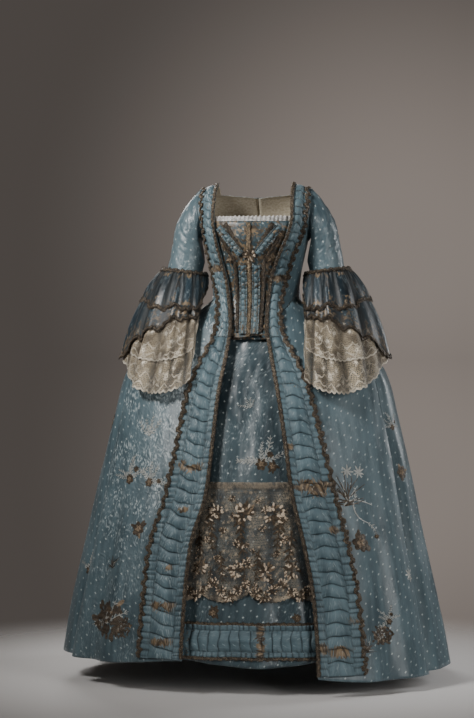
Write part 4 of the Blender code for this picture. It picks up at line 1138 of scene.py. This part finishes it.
def ruching(share, turn, crown, seed, frill=FRILL):
    """Rise of silk drawn up on two threads into puffs, with frills outside them, and the shade painted into
    its folds.
    """
    dice = np.random.default_rng(seed + 1)
    count = int(turn.max()) + 1
    plump, depth = 0.78 + 0.45 * dice.random(count), 0.85 + 0.40 * dice.random(count)
    middle = between_threads(share, frill)
    puff, inside = np.abs(np.sin(np.pi * turn)) ** 0.42, np.sin(np.pi * middle)
    rays = np.abs(np.sin(np.pi * turn * 3.0 + 1.6 * np.sin(turn * 1.7 + seed)))
    rise = crown * plump[np.minimum(turn.astype(int), count - 1)]
    rise = rise * (0.08 + 0.92 * puff) * np.abs(inside) ** 0.45
    rise = rise - crown * 0.16 * (1.0 - rays) * (1.0 - np.abs(inside)) * (inside > 0.0)
    out = np.clip(np.where(share < 0.5, frill - share, share - 1.0 + frill) / frill, 0.0, 1.0)
    flutes = np.abs(np.sin(np.pi * (turn * 2.0 + 0.30 * np.sin(turn * 1.9 + seed))))
    rise = rise + np.where(out > 0.0, crown * (0.10 + 0.60 * flutes ** 0.8 * out ** 0.7), 0.0)
    nearest = np.rint(turn).astype(int)
    # Painted shade: dark lines in the creases between puffs, in the pinched rays, in the frills' flutes and
    # along the gathering threads.
    crease_shade = np.exp(-((turn - nearest) / 0.060) ** 2) * depth[np.minimum(nearest, count - 1)]
    crease_shade = crease_shade * (1.0 - 0.25 * np.abs(np.sin(middle * 5.0 + 1.7 * nearest)))
    pinched_shade = 0.75 * (1.0 - rays) ** 3 * (1.0 - np.abs(inside)) ** 2
    thread = 0.62 * np.exp(-((out * frill + (middle > 0.0) * np.minimum(middle, 1.0 - middle)) / 0.014) ** 2)
    thread = np.where((out > 0.9) | (np.abs(inside) > 0.5), 0.0,
                      thread * (0.5 + 0.5 * np.sin(turn * 9.0 + seed)))
    gather = np.where(out > 0.0, 0.85 * (1.0 - flutes) ** 2.5, np.maximum(crease_shade, pinched_shade))
    return rise, np.clip(np.maximum(gather, thread), 0.0, 1.0)


def robing(side, top, bottom, puffs, crown, face, seed, lean):
    share, along, turn = drawn_up(puffs, seed, arch=0.17 if side > 0 else -0.14, lean=lean)
    height = mix(top, bottom, along)
    pull = 2.0 * np.pi * puffs * along
    flutter = 0.0035 * np.cos(pull + 0.7) + 0.0018 * np.sin(pull * 2.3)
    width = robing_width(height) + flutter * ease((share - 0.6) / 0.4)
    x = front_edge(side, height) + side * (share * width + 0.001)
    rise, gather = ruching(share, turn, crown, seed)
    over_seam = WAIST_SEAM_RIDE * np.exp(-((height - WAIST_FRONT) / 0.025) ** 2)
    points = front_face(x, height)
    normals = facing(points)
    return laid_on(points, normals, face, TRIM_GAP + over_seam + rise), normals, gather, share


trim_silk = silk("ruched silk", 0.46, ("gather", "brocade", "glint"), bump=0.0018, shine=0.38,
                 Dot=(0.22, 0.29, 0.31), Silk=(0.128, 0.198, 0.230), Shade=(0.066, 0.109, 0.131), Matt=0.12)
Patch = namedtuple("Patch", "side height share high wide strength")
PATCHES = table(
    Patch, (-1, 0.591, 0.50, 0.017, 0.34, 1.25), (-1, 0.477, 0.45, 0.010, 0.14, 0.75),
    (-1, 0.328, 0.48, 0.010, 0.13, 0.70), (-1, 0.229, 0.50, 0.017, 0.32, 1.15),
    (-1, 0.139, 0.50, 0.014, 0.30, 0.85), (-1, 1.116, 0.50, 0.009, 0.50, 0.90),
    (1, 0.536, 0.50, 0.022, 0.60, 1.00), (1, 0.426, 0.78, 0.011, 0.12, 0.90),
    (1, 0.193, 0.82, 0.014, 0.14, 0.85), (1, 0.116, 0.52, 0.017, 0.22, 1.00),
    (1, 0.128, 0.12, 0.016, 0.14, 0.90), (1, 1.088, 0.50, 0.009, 0.60, 0.90),
    (1, 0.800, 0.50, 0.010, 0.40, 0.50), (1, 0.640, 0.10, 0.012, 0.15, 0.70),
)
robing_edges = {}
for side, name in SIDES:
    face = outer_face(gown["bodice_front", side], gown["skirt_front", side])
    skirt_foot = float(hem_curve(side * 20.0)) + 0.004
    lean = 0.55 if side < 0 else -0.12
    patches = [patch for patch in PATCHES if patch.side == side]
    for part, top, bottom, puffs, crown, flat in (
            ("bodice_robing_", ROBING_TOP, ROBING_JOIN, BODICE_PUFFS, 0.0060, (0.62, 0.045)),
            ("skirt_robing_", ROBING_JOIN - JOIN_GAP, skirt_foot, SKIRT_PUFFS, 0.0085, (1.30, 0.095))):
        points, normals, gather, share = robing(side, top, bottom, puffs, crown, face, 70 + side, lean)
        height = points[..., 2] + SHOULDERS
        brown = sum(np.exp(-((height - patch.height) / patch.high) ** 2
                           - ((share - patch.share) / patch.wide) ** 2) * patch.strength for patch in patches)
        brown = brown * (0.9 + 0.8 * ripple(points, 0.03, 77.0))
        if part == "bodice_robing_":
            brown = brown + 0.20 + 0.12 * ripple(points, 0.018, 78.0)
        # Painted highlight: stronger glints on the right side's bands, most on the bodice, where the light
        # falls.
        glint = 0.20 if side > 0 else 1.0 if part == "bodice_robing_" else 0.50
        band = cloth(part + name + "_silk", points, [trim_silk], on_top=True,
                     marks={"gather": gather, "brocade": brown, "glint": glint})
        sewn(band, part + name)
        robing_edges[part, side] = points, normals


# ---------------------------------------------------------------- stomacher
# A stiffened triangle of the same silk pinned behind the gown's open front, trimmed with
# upright and slanting ruched bands and a white lace tucker along its top.
TIP, NECKLINE, STOMACHER_LIFT, TUCKED_UNDER, MIDDLE = 0.925, 1.243, -0.0048, 0.008, -0.006
STOMACHER_PUFFS, SLANT_PUFFS, STOMACHER_CROWN, TUCKER_WAVES, TUCKER_SPAN = 12, 7, 0.0055, 18, 0.21
share, height = crossings(evenly(0.0, 1.0, 40), evenly(TIP, NECKLINE, 60))
x = mix(front_edge(-1, height) - TUCKED_UNDER, front_edge(1, height) + TUCKED_UNDER, share)
points = front_face(x, height)
points = lifted(points, STOMACHER_LIFT + 0.0006 * ripple(points, 0.04, 80.0))
stomacher_silk = silk("brocaded silk", 0.36, ("brocade",), Silk=(0.050, 0.088, 0.106),
                      Shade=(0.022, 0.038, 0.046), Glint=0.20)
mottled = 0.46 + 0.34 * ripple(points, 0.022, 82.0)
stomacher = cloth("stomacher_silk", points, [stomacher_silk, linen], marks={"brocade": mottled})
sewn(stomacher, "stomacher")
stomacher_face = outer_face(stomacher)


def stomacher_band(start, end, width, puffs, seed):
    """A ruched band from start to end, each an x and a height."""
    share, along, turn = drawn_up(puffs, seed)
    run = Vector((end[0] - start[0], end[1] - start[1]))
    beside = Vector((-run.y, run.x)).normalized()
    x = start[0] + run.x * along + beside.x * width * (share - 0.5)
    height = start[1] + run.y * along + beside.y * width * (share - 0.5)
    rise, gather = ruching(share, turn, STOMACHER_CROWN, seed)
    points = front_face(x, height)
    return laid_on(points, facing(points), stomacher_face, TRIM_GAP + rise), gather


for side, name in SIDES:
    for part, start, end, width, puffs, flat in (
            ("stomacher_ruche_", (0.018, 1.122), (0.016, 0.938), 0.021, STOMACHER_PUFFS, (0.28, 0.022)),
            ("stomacher_slant_", (0.084, 1.226), (0.022, 1.152), 0.020, SLANT_PUFFS, (0.14, 0.021))):
        start, end = ((MIDDLE + side * x, height) for x, height in (start, end))
        points, gather = stomacher_band(start, end, width, puffs, 84 + side)
        band = cloth(part + name + "_silk", points, [trim_silk], on_top=True,
                     marks={"gather": gather, "brocade": 0.37 + 0.16 * ripple(points, 0.02, 86.0),
                            "glint": 0.3})
        sewn(band, part + name)

white_lace = lace("white lace", (0.74, 0.73, 0.70), (0.42, 0.41, 0.39), (0.86, 0.85, 0.82), 420.0, 0.22, 90.0,
                  0.30, 0.50)
TUCKER_HIGH, TUCKER_LIFT = 0.014, -0.007
tucker_left, tucker_right = (float(front_edge(side, NECKLINE)) + side * 0.004 for side in (-1, 1))
x, up = crossings(evenly(tucker_left, tucker_right, 190), evenly(0.0, 1.0, 7))
tucker_points = front_face(x, NECKLINE + 0.001 + TUCKER_HIGH * up)
flutes = 2.0 * np.pi * TUCKER_WAVES * (x - tucker_left) / TUCKER_SPAN + 0.6 * np.sin(x * 90.0)
tucker_points = lifted(tucker_points, TUCKER_LIFT + 0.0025 * np.sin(flutes) * (0.4 + 0.6 * up))
tucker_points[..., 2] += 0.0015 * up * np.abs(np.sin(x * 330.0))
tucker = cloth("neck_tucker_lace", tucker_points, [white_lace], wall=0.0006,
               marks={"edge": 0.7 * ease((up - 0.6) / 0.3)})
sewn(tucker, "neck_tucker")


# ---------------------------------------------------------------- petticoat's hem band
# Above the hem one more ruched band of the silk, drawn up in upright puffs between two
# frills, is sewn across the front panel, with gold braid along both its edges.
HEM_PUFFS, BAND_TOP, BAND_FOOT, BAND_FRILL, BAND_CROWN = 20, 0.182, 0.102, 0.16, 0.0080
BAND_RIGHT, BAND_LEFT = -28.0, 34.0
share, along, turn = drawn_up(HEM_PUFFS, 90, BAND_FRILL, arch=0.12)
angle = mix(BAND_RIGHT, BAND_LEFT, along)
band_points = petticoat_surface(angle, mix(BAND_TOP, BAND_FOOT, share))
band_normals = facing(band_points)
rise, gather = ruching(share, turn, BAND_CROWN, 90, BAND_FRILL)
front_panel = outer_face(petticoat["petticoat_front"])
band_points = laid_on(band_points, band_normals, front_panel, TRIM_GAP + rise)
brown = 0.75 * np.exp(-((angle - 5.5) / 1.5) ** 2) + 0.30 * np.exp(-((angle + 16.0) / 2.0) ** 2)
band = cloth("petticoat_ruche_silk", band_points, [trim_silk], on_top=True,
             marks={"gather": gather, "brocade": brown, "glint": 0.2})
sewn(band, "petticoat_ruche")


# ---------------------------------------------------------------- gold braid
# Narrow braid plaited from tarnished gold thread, with loops along its sides, edges the
# robings, the sleeve flounces, the stomacher and the petticoat's hem band. It is sewn on by
# hand and wanders a little. A piping of the sleeve's silk covers each armhole's seam.
BRAID_STEP, BRAID_LIFT, PIPING_LIFT = 0.0034, 0.0006, -0.0008
BRAID_LOOP, BRAID_SWAYS, BRAID_TAKE_UP = 0.0068, (0.021, 0.0135), 1.06
braid_gold = metal_thread("tarnished gold braid", 0.58, (0.33, 0.262, 0.180), (0.036, 0.029, 0.024),
                          metallic=0.30)
stomacher_gold = metal_thread("bright gold braid", 0.50, (0.42, 0.32, 0.20), (0.040, 0.030, 0.022),
                              metallic=0.40)
dull_gold = metal_thread("dull gold braid", 0.60, (0.22, 0.165, 0.105), (0.026, 0.022, 0.019), metallic=0.25)


def wave(along, length, shift=0.0):
    return np.sin(along * 2.0 * np.pi / length + shift)


def braid(name, spine, normals, width, seed, wander, material=braid_gold, lift=BRAID_LIFT):
    """A domed braid sewn along a line of points, looping a little to each side."""
    length = run_lengths(spine[None], 1)[0]
    steps = np.arange(0.0, length[-1], BRAID_STEP)
    spine = np.stack([np.interp(steps, length, spine[:, axis]) for axis in range(3)], axis=-1)
    normals = np.stack([np.interp(steps, length, normals[:, axis]) for axis in range(3)], axis=-1)
    beside = np.cross(normals, np.gradient(spine, axis=0))
    beside /= np.linalg.norm(beside, axis=-1, keepdims=True)
    sway = wander * (wave(steps, BRAID_SWAYS[0], seed) + 0.6 * wave(steps, BRAID_SWAYS[1], 2.0 * seed))
    across, along = crossings(evenly(-1.0, 1.0, 5), steps)
    loops = 1.0 + 0.15 * np.sign(across) * wave(along, BRAID_LOOP, np.sign(across))
    dome = 0.14 * width * np.sqrt(np.maximum(1.0 - across ** 2, 0.0)) * (1.0 + 0.3 * wave(along, BRAID_LOOP))
    dome = 0.0004 + dome
    points = (spine[:, None] + beside[:, None] * (sway[:, None] + across * loops * width / 2.0)[..., None]
              + normals[:, None] * (lift + dome)[..., None])
    piece = cloth(name, points, [material], wall=0.0006, on_top=True)


for side, name in SIDES:
    for part, width in (("bodice_robing_", 0.010), ("skirt_robing_", 0.011)):
        points, normals = robing_edges[part, side]
        band = part + name + "_silk"
        braid(part + name + "_outer_braid", points[:, -1], normals[:, -1], width, 1.0 + side, 0.0014)
        braid(part + name + "_inner_braid", points[:, 0], normals[:, 0], 0.010, 2.0 + side, 0.0007)
    for node, column, width in (
            ("flounce_lower_", -1, 0.010), ("flounce_upper_", -1, 0.011), ("flounce_upper_", 0, 0.012)):
        points, normals = ruffle_edges[node, side]
        braid(node + name + ("_edge_braid" if column else "_top_braid"), points[column], normals[column],
              width, 3.0 + side + column, 0.0016, dull_gold)


for side, name in SIDES:
    turns = evenly(0.0, 360.0, 120)
    loop = armhole_point(side, turns)
    out = loop - loop.mean(axis=0)
    out = 0.8 * out / np.linalg.norm(out, axis=-1, keepdims=True) + np.array([0.6 * side, 0.0, 0.0])
    out = out / np.linalg.norm(out, axis=-1, keepdims=True)
    braid("armhole_" + name + "_piping", loop, out, 0.010, 6.0, 0.0,
          sleeve_silk, PIPING_LIFT)


def stomacher_line(*corners):
    """A line of points lying on the stomacher through corners at (x from the middle, height)."""
    corners = np.array(corners) + (MIDDLE, 0.0)
    steps = np.linspace(0.0, len(corners) - 1.0, 60)
    x, height = (np.interp(steps, np.arange(len(corners)), corners[:, axis]) for axis in (0, 1))
    points = np.stack([front_face(x + step, height) for step in (-0.001, 0.0, 0.001)])
    normals = facing(points)[1]
    return laid_on(points[1], normals, stomacher_face, 0.0012), normals


STOMACHER_BRAIDS = (
    ("centre_braid", 0.012, (0.0, 1.238), (0.0, 0.930)),
    ("left_slant_braid", 0.011, (0.066, 1.236), (0.008, 1.140)),
    ("right_slant_braid", 0.011, (-0.066, 1.236), (-0.008, 1.140)),
    ("left_outer_braid", 0.010, (0.094, 1.215), (0.040, 1.130), (0.031, 0.940)),
    ("right_outer_braid", 0.010, (-0.088, 1.215), (-0.040, 1.130), (-0.030, 0.940)),
    ("foot_braid", 0.012, (-0.042, 0.931), (0.036, 0.931)),
)
for title, width, *corners in STOMACHER_BRAIDS:
    points, normals = stomacher_line(*corners)
    braid("stomacher_" + title, points, normals, width, width * 900.0, 0.0013,
          stomacher_gold if "centre" in title else dull_gold)

for title, height in (("upper", BAND_TOP + 0.002), ("lower", BAND_FOOT - 0.003)):
    angle, step = crossings(evenly(BAND_RIGHT - 0.5, BAND_LEFT, 260), (0.0, 1.0, 2.0))
    points = petticoat_surface(angle, height + 0.001 * step)
    normals = facing(points)
    points = laid_on(points, normals, front_panel, TRIM_GAP)
    braid("petticoat_" + title + "_braid", points[0], normals[0], 0.010, 5.0,
          0.0012)


# ---------------------------------------------------------------- worked flowers
# Flowers are brocaded into the silk in brown, gold and silver thread, loosely scattered as
# sprays. The metal lace carries raised clusters of small pinkish-gold flowers, and the
# middle of the stomacher a rosette. Petals, leaves and stems lie a thread's width proud.
PALE, GOLD, BROWN, DULL = 0, 1, 2, 3
UPRIGHT, THREAD_RISE = 1.57, 0.0004
worked_threads = [
    metal_thread("silver thread", 0.30, (0.52, 0.53, 0.50), (0.20, 0.22, 0.22), metallic=0.30),
    metal_thread("pink gold thread", 0.32, (0.88, 0.74, 0.58), (0.34, 0.255, 0.17), metallic=0.20),
    metal_thread("brown gold thread", 0.55, (0.165, 0.120, 0.076), (0.038, 0.030, 0.022), metallic=0.20),
    metal_thread("dull gold thread", 0.46, (0.40, 0.30, 0.20), (0.105, 0.076, 0.050), metallic=0.25),
]


def any_turn(dice):
    return dice.uniform(0.0, 6.28)


def dyed(made, thread):
    """Gives the faces round some vertices a thread's colour."""
    for face in {face for vert in made for face in vert.link_faces}:
        face.material_index = thread


def petal(sheet, x, y, long, wide, turn, thread, rise):
    """An oval petal or leaf growing from x, y, domed along its middle."""
    shape = (Matrix.Translation((x, y, 0.0)) @ Matrix.Rotation(turn, 4, "Z")
             @ Matrix.Translation((long / 2.0, 0.0, 0.0))
             @ Matrix.Diagonal((long / 2.0, wide / 2.0, 1.0, 1.0)))
    made = bmesh.ops.create_circle(sheet, cap_ends=True, cap_tris=True, segments=8, radius=1.0,
                                   matrix=shape)["verts"]
    dyed(made, thread)
    max(made, key=lambda vert: len(vert.link_faces)).co.z = rise


def along_bow(x, y, long, turn, bow, along):
    """A point at a share along a line that grows from x, y and turns by bow."""
    reach, way = long * along, turn + bow * along / 2.0
    return x + reach * math.cos(way), y + reach * math.sin(way)


def stem(sheet, x, y, long, turn, bow, width, thread):
    """A curved thread, growing from x, y and thinning to its end; returns its end and turn."""
    made = bmesh.ops.create_grid(sheet, x_segments=7, y_segments=1, size=0.5)["verts"]
    dyed(made, thread)
    for vert in made:
        along, beside = vert.co.x + 0.5, vert.co.y * width * (1.25 - vert.co.x)
        bend = turn + bow * along
        spot_x, spot_y = along_bow(x, y, long, turn, bow, along)
        vert.co = (spot_x - beside * math.sin(bend), spot_y + beside * math.cos(bend), THREAD_RISE)
    return *along_bow(x, y, long, turn, bow, 1.0), turn + bow


def rosette(sheet, x, y, size, outer, inner, dice):
    """A double flower about as wide as size."""
    start = any_turn(dice)
    for row, (petals, reach, thread) in enumerate(((6, 0.50, outer), (5, 0.30, inner))):
        for index in range(petals):
            turn = start + row * 0.5 + index * 2.0 * math.pi / petals + dice.uniform(-0.15, 0.15)
            long = size * reach * dice.uniform(0.9, 1.1)
            petal(sheet, x, y, long, size * reach * 0.75, turn, thread, 0.0012 + 0.0008 * row)
    petal(sheet, x - size * 0.06, y, size * 0.12, size * 0.12, 0.0, BROWN, 0.0026)


def sprig(sheet, x, y, long, turn, bow, dice, leaves, thread=PALE, tip=None):
    """A bowed stem with leaves in pairs and perhaps a flower at its end."""
    end_x, end_y, _ = stem(sheet, x, y, long, turn, bow, long * 0.022, thread)
    for index in range(leaves):
        along = (index + 1.0) / (leaves + 1.0)
        way = turn + bow * along
        spot_x, spot_y = along_bow(x, y, long, turn, bow, along)
        for hand in (-1.0, 1.0):
            size = long * dice.uniform(0.13, 0.24) * (1.1 - 0.5 * along)
            petal(sheet, spot_x, spot_y, size, size * 0.30, way + hand * dice.uniform(0.5, 0.95), thread,
                  0.0007)
    if tip is not None:
        rosette(sheet, end_x, end_y, long * 0.30, tip, DULL, dice)


def spray(sheet, size, dice):
    """Feathery silver sprigs round a brown and gold flower."""
    for index in range(5):
        turn = UPRIGHT + (index - 2) * 0.75 + dice.uniform(-0.2, 0.2)
        sprig(sheet, 0.0, 0.0, size * dice.uniform(0.42, 0.62), turn, dice.uniform(-0.9, 0.9), dice, 6)
    rosette(sheet, 0.0, -size * 0.05, size * 0.28, BROWN, DULL, dice)
    rosette(sheet, size * 0.22, size * 0.12, size * 0.16, BROWN, BROWN, dice)


def strewn(reach, squash, dice):
    """A place strewn in an oval, as x, y and its turn round the middle."""
    reach, turn = reach * math.sqrt(dice.random()), any_turn(dice)
    return reach * math.cos(turn), squash * reach * math.sin(turn), turn


def thicket(sheet, size, dice):
    """A dense patch of brown leaves with a few silver stems through it."""
    for _ in range(90):
        x, y = strewn(size * 0.44, 0.8, dice)[:2]
        petal(sheet, x, y, size * dice.uniform(0.12, 0.22), size * 0.10, any_turn(dice),
              BROWN if dice.random() < 0.95 else DULL, dice.uniform(0.0006, 0.0016))
    for index in range(5):
        sprig(sheet, 0.0, -size * 0.1, size * dice.uniform(0.45, 0.65), 0.5 + index * 0.55,
              dice.uniform(-0.8, 0.8), dice, 4)


def twigs(sheet, size, dice):
    """A bush of fine brown twigs with a few silver ones."""
    for index in range(24):
        turn = UPRIGHT + (index - 11.5) * 0.14 + dice.uniform(-0.1, 0.1)
        stem(sheet, dice.uniform(-0.1, 0.1) * size, -size * dice.uniform(0.1, 0.4),
             size * dice.uniform(0.4, 0.8), turn, dice.uniform(-0.6, 0.6), size * 0.022,
             PALE if index % 6 == 0 else BROWN)


def star(sheet, size, dice):
    """A pale star of eight narrow petals."""
    for index in range(8):
        petal(sheet, 0.0, 0.0, size * dice.uniform(0.42, 0.55), size * 0.13,
              index * 0.785 + dice.uniform(-0.1, 0.1), PALE, 0.0006)


def feathers(sheet, size, dice):
    """Pale feathery sprigs fanned out from one stalk."""
    for index in range(4):
        sprig(sheet, 0.0, 0.0, size * dice.uniform(0.5, 0.8), 0.7 + index * 0.55, dice.uniform(-0.7, 0.7),
              dice, 5)


def tendril(sheet, size, dice):
    """A long looping silver stem ending in a brown flower."""
    x, y, turn = stem(sheet, 0.0, size * 0.5, size * 0.55, -1.9, 1.6, size * 0.022, PALE)
    sprig(sheet, x, y, size * 0.45, turn, -1.4, dice, 4, tip=BROWN)
    sprig(sheet, 0.0, size * 0.5, size * 0.4, 0.9, 0.8, dice, 5)


def brown_flower(sheet, size, dice):
    rosette(sheet, 0.0, 0.0, size, BROWN, DULL, dice)
    for _ in range(4):
        petal(sheet, 0.0, 0.0, size * 0.70, size * 0.22, any_turn(dice),
              BROWN if dice.random() < 0.8 else DULL, 0.0008)


def lace_cluster(sheet, size, dice):
    """An uneven cluster of small pinkish-gold petals on brown leaves."""
    for _ in range(6):
        petal(sheet, 0.0, 0.0, size * dice.uniform(0.35, 0.62), size * 0.16, any_turn(dice), BROWN, 0.0010)
    for _ in range(26):
        x, y, turn = strewn(size * 0.38, 0.85, dice)
        petal(sheet, x, y, size * dice.uniform(0.15, 0.27), size * dice.uniform(0.09, 0.15),
              turn + dice.uniform(-0.9, 0.9), dice.choice((GOLD, GOLD, DULL, BROWN)),
              dice.uniform(0.0016, 0.0030))


def trail(sheet, size, dice):
    """A brown stem hanging down, set with leaves and small gold petals."""
    sprig(sheet, 0.0, size * 0.5, size, -UPRIGHT, dice.uniform(-0.5, 0.5), dice, 6, BROWN)
    for index in range(9):
        petal(sheet, size * dice.uniform(-0.10, 0.10), size * (0.45 - 0.1 * index),
              size * dice.uniform(0.05, 0.11), size * 0.04, any_turn(dice), dice.choice((GOLD, DULL, BROWN)),
              0.0018)


OUTSIDE, FLOWER_REACH, FLOWER_LIFT = 1.5, 0.08, 0.0004


def worked(name, places, face, lift, seed):
    """Flowers drawn flat and laid on a face, each at its angle round the form and its height."""
    dice, sheet = random.Random(seed), bmesh.new()
    for angle, height, size, turn, kind in places:
        start = len(sheet.verts)
        kind(sheet, size, dice)
        sheet.verts.ensure_lookup_table()
        away = Vector((math.sin(math.radians(angle)), -math.cos(math.radians(angle)), 0.0))
        hit = face.ray_cast(away * OUTSIDE + Vector((0.0, 0.0, height - SHOULDERS)), -away, OUTSIDE)
        spot, normal = hit[0], hit[1] if hit[1].dot(away) > 0.0 else -hit[1]
        across = Vector((0.0, 0.0, 1.0)).cross(normal).normalized()
        up = normal.cross(across)
        for vert in sheet.verts[start:]:
            x = vert.co.x * math.cos(turn) - vert.co.y * math.sin(turn)
            y = vert.co.x * math.sin(turn) + vert.co.y * math.cos(turn)
            flat = spot + across * x + up * y
            rested = face.ray_cast(flat + normal * NEAR, -normal, FLOWER_REACH)[0]
            vert.co = (rested or flat) + normal * (lift + vert.co.z)
    threads = sheet.loops.layers.uv.new("cloth")
    for corner in (corner for face in sheet.faces for corner in face.loops):
        corner[threads].uv = (corner.vert.co.x + corner.vert.co.y, corner.vert.co.z)
    sheet.normal_update()
    bmesh.ops.reverse_faces(sheet, faces=[face for face in sheet.faces if face.normal.xy.dot(
        face.calc_center_median().xy) < 0.0])
    finished(name, sheet, worked_threads)


Worked = namedtuple("Worked", "angle height size turn kind")


def scattered(kind, *places):
    """Flowers of one kind, each at an angle and a height, with its size and turn."""
    return [Worked(*place, kind) for place in places]


LACE_FLOWERS = scattered(
    lace_cluster, (-13.5, 0.472, 0.046, 0.0), (-0.4, 0.467, 0.062, 0.6), (15.2, 0.465, 0.058, 0.2),
    (-10.0, 0.424, 0.022, 0.0), (9.0, 0.430, 0.022, 1.0), (-3.3, 0.390, 0.022, 0.4), (1.5, 0.386, 0.018, 0.4),
    (19.2, 0.399, 0.022, 0.4), (-19.0, 0.328, 0.042, 0.9), (-3.3, 0.324, 0.044, 1.4),
    (1.9, 0.340, 0.036, 0.3), (9.7, 0.318, 0.054, 0.8), (21.6, 0.323, 0.046, 0.5), (-11.5, 0.352, 0.022, 0.5),
    (-23.5, 0.266, 0.030, 0.3), (-20.0, 0.258, 0.034, 0.7), (-16.5, 0.272, 0.028, 1.1),
    (-12.5, 0.288, 0.032, 0.1), (-9.0, 0.270, 0.030, 0.8), (-5.5, 0.257, 0.036, 0.5),
    (-2.0, 0.271, 0.028, 0.9), (2.0, 0.287, 0.030, 0.0), (6.0, 0.267, 0.032, 0.4), (9.5, 0.256, 0.036, 0.2),
    (13.0, 0.271, 0.028, 0.6), (17.0, 0.288, 0.032, 0.3), (21.0, 0.268, 0.030, 0.1),
    (24.5, 0.258, 0.034, 0.8), (28.0, 0.272, 0.028, 0.5), (-6.5, 0.505, 0.018, 0.4), (7.0, 0.500, 0.018, 0.9),
    (-17.0, 0.400, 0.018, 0.7), (15.5, 0.362, 0.018, 0.2), (5.5, 0.285, 0.018, 0.6),
)
LACE_FLOWERS += scattered(
    trail, (-15.0, 0.425, 0.120, 0.1), (-2.0, 0.420, 0.130, 0.0), (16.5, 0.415, 0.120, -0.1),
    (-9.0, 0.330, 0.085, 0.2), (6.0, 0.335, 0.085, -0.2), (22.0, 0.370, 0.110, 0.0),
    (-20.5, 0.370, 0.110, 0.1), (12.5, 0.290, 0.060, 0.2), (-14.0, 0.300, 0.060, 0.0),
    (0.5, 0.290, 0.060, 0.0),
)
LACE_FLOWERS += scattered(
    lace_cluster, (-5.5, 0.460, 0.020, 0.0), (4.5, 0.372, 0.016, 0.0), (10.5, 0.476, 0.024, 0.0),
    (19.0, 0.452, 0.026, 0.0),
)
worked("gold_lace_flowers", LACE_FLOWERS, gold_lace_face, 0.0008, 11)

PETTICOAT_SPRAYS = table(
    Worked, (8.8, 0.600, 0.125, 0.2, spray), (15.4, 0.588, 0.030, 0.0, brown_flower),
    (22.8, 0.202, 0.022, 0.5, brown_flower), (-12.0, 0.214, 0.030, 0.0, brown_flower),
    (2.0, 0.740, 0.050, 0.4, feathers),
)
worked("petticoat_sprays", PETTICOAT_SPRAYS, front_panel, FLOWER_LIFT, 12)

RIGHT_SPRAYS = table(
    Worked, (-56.8, 0.556, 0.120, 0.3, spray), (-46.0, 0.548, 0.100, -0.5, spray),
    (-47.1, 0.423, 0.042, 0.0, brown_flower), (-52.9, 0.185, 0.125, 0.2, thicket),
    (-46.0, 0.166, 0.055, 0.8, thicket), (-51.9, 0.665, 0.075, 0.2, feathers),
    (-57.0, 0.330, 0.045, 0.4, twigs), (-75.0, 0.300, 0.100, -0.3, spray), (-92.0, 0.560, 0.085, 0.5, spray),
    (-104.0, 0.250, 0.100, 0.1, thicket), (-84.0, 0.700, 0.050, 0.0, brown_flower),
)
LEFT_SPRAYS = table(
    Worked, (48.4, 0.575, 0.036, 0.0, star), (53.4, 0.572, 0.036, 0.4, star),
    (45.6, 0.520, 0.090, 0.1, twigs), (48.9, 0.440, 0.110, 0.1, tendril),
    (49.2, 0.391, 0.052, 0.0, brown_flower), (52.7, 0.150, 0.066, 0.4, thicket),
    (56.0, 0.188, 0.070, 0.5, spray), (67.0, 0.300, 0.040, 0.0, star),
    (77.0, 0.566, 0.036, 0.6, brown_flower), (77.5, 0.690, 0.070, 0.2, spray),
    (92.0, 0.380, 0.100, 0.1, spray), (106.0, 0.600, 0.080, 0.3, thicket), (46.0, 0.128, 0.045, 0.0, twigs),
)
for side, name, sprays in ((1, "left", LEFT_SPRAYS), (-1, "right", RIGHT_SPRAYS)):
    skirts = outer_face(gown["skirt_front", side], gown["skirt_side", side])
    worked("gown_sprays_" + name, sprays, skirts, FLOWER_LIFT, 14 + side)
SACK_SPRAYS = table(
    Worked, (172.0, 0.950, 0.075, 0.2, spray), (188.0, 0.620, 0.100, -0.3, spray),
    (166.0, 0.420, 0.090, 0.4, thicket), (195.0, 0.300, 0.110, 0.1, tendril),
    (176.0, 0.160, 0.110, 0.0, spray), (157.0, 0.230, 0.040, 0.3, star),
    (187.0, 1.180, 0.050, 0.5, brown_flower),
)
worked("sack_sprays", SACK_SPRAYS, outer_face(sack), FLOWER_LIFT, 17)
STOMACHER_FLOWERS = table(
    Worked, (-1.5, 1.152, 0.036, 0.2, lace_cluster), (33.0, 1.205, 0.022, 0.6, brown_flower),
    (-27.0, 1.140, 0.020, 0.4, brown_flower), (22.0, 1.140, 0.020, 0.0, brown_flower),
)
worked("stomacher_flowers", STOMACHER_FLOWERS, stomacher_face, 0.0050, 18)
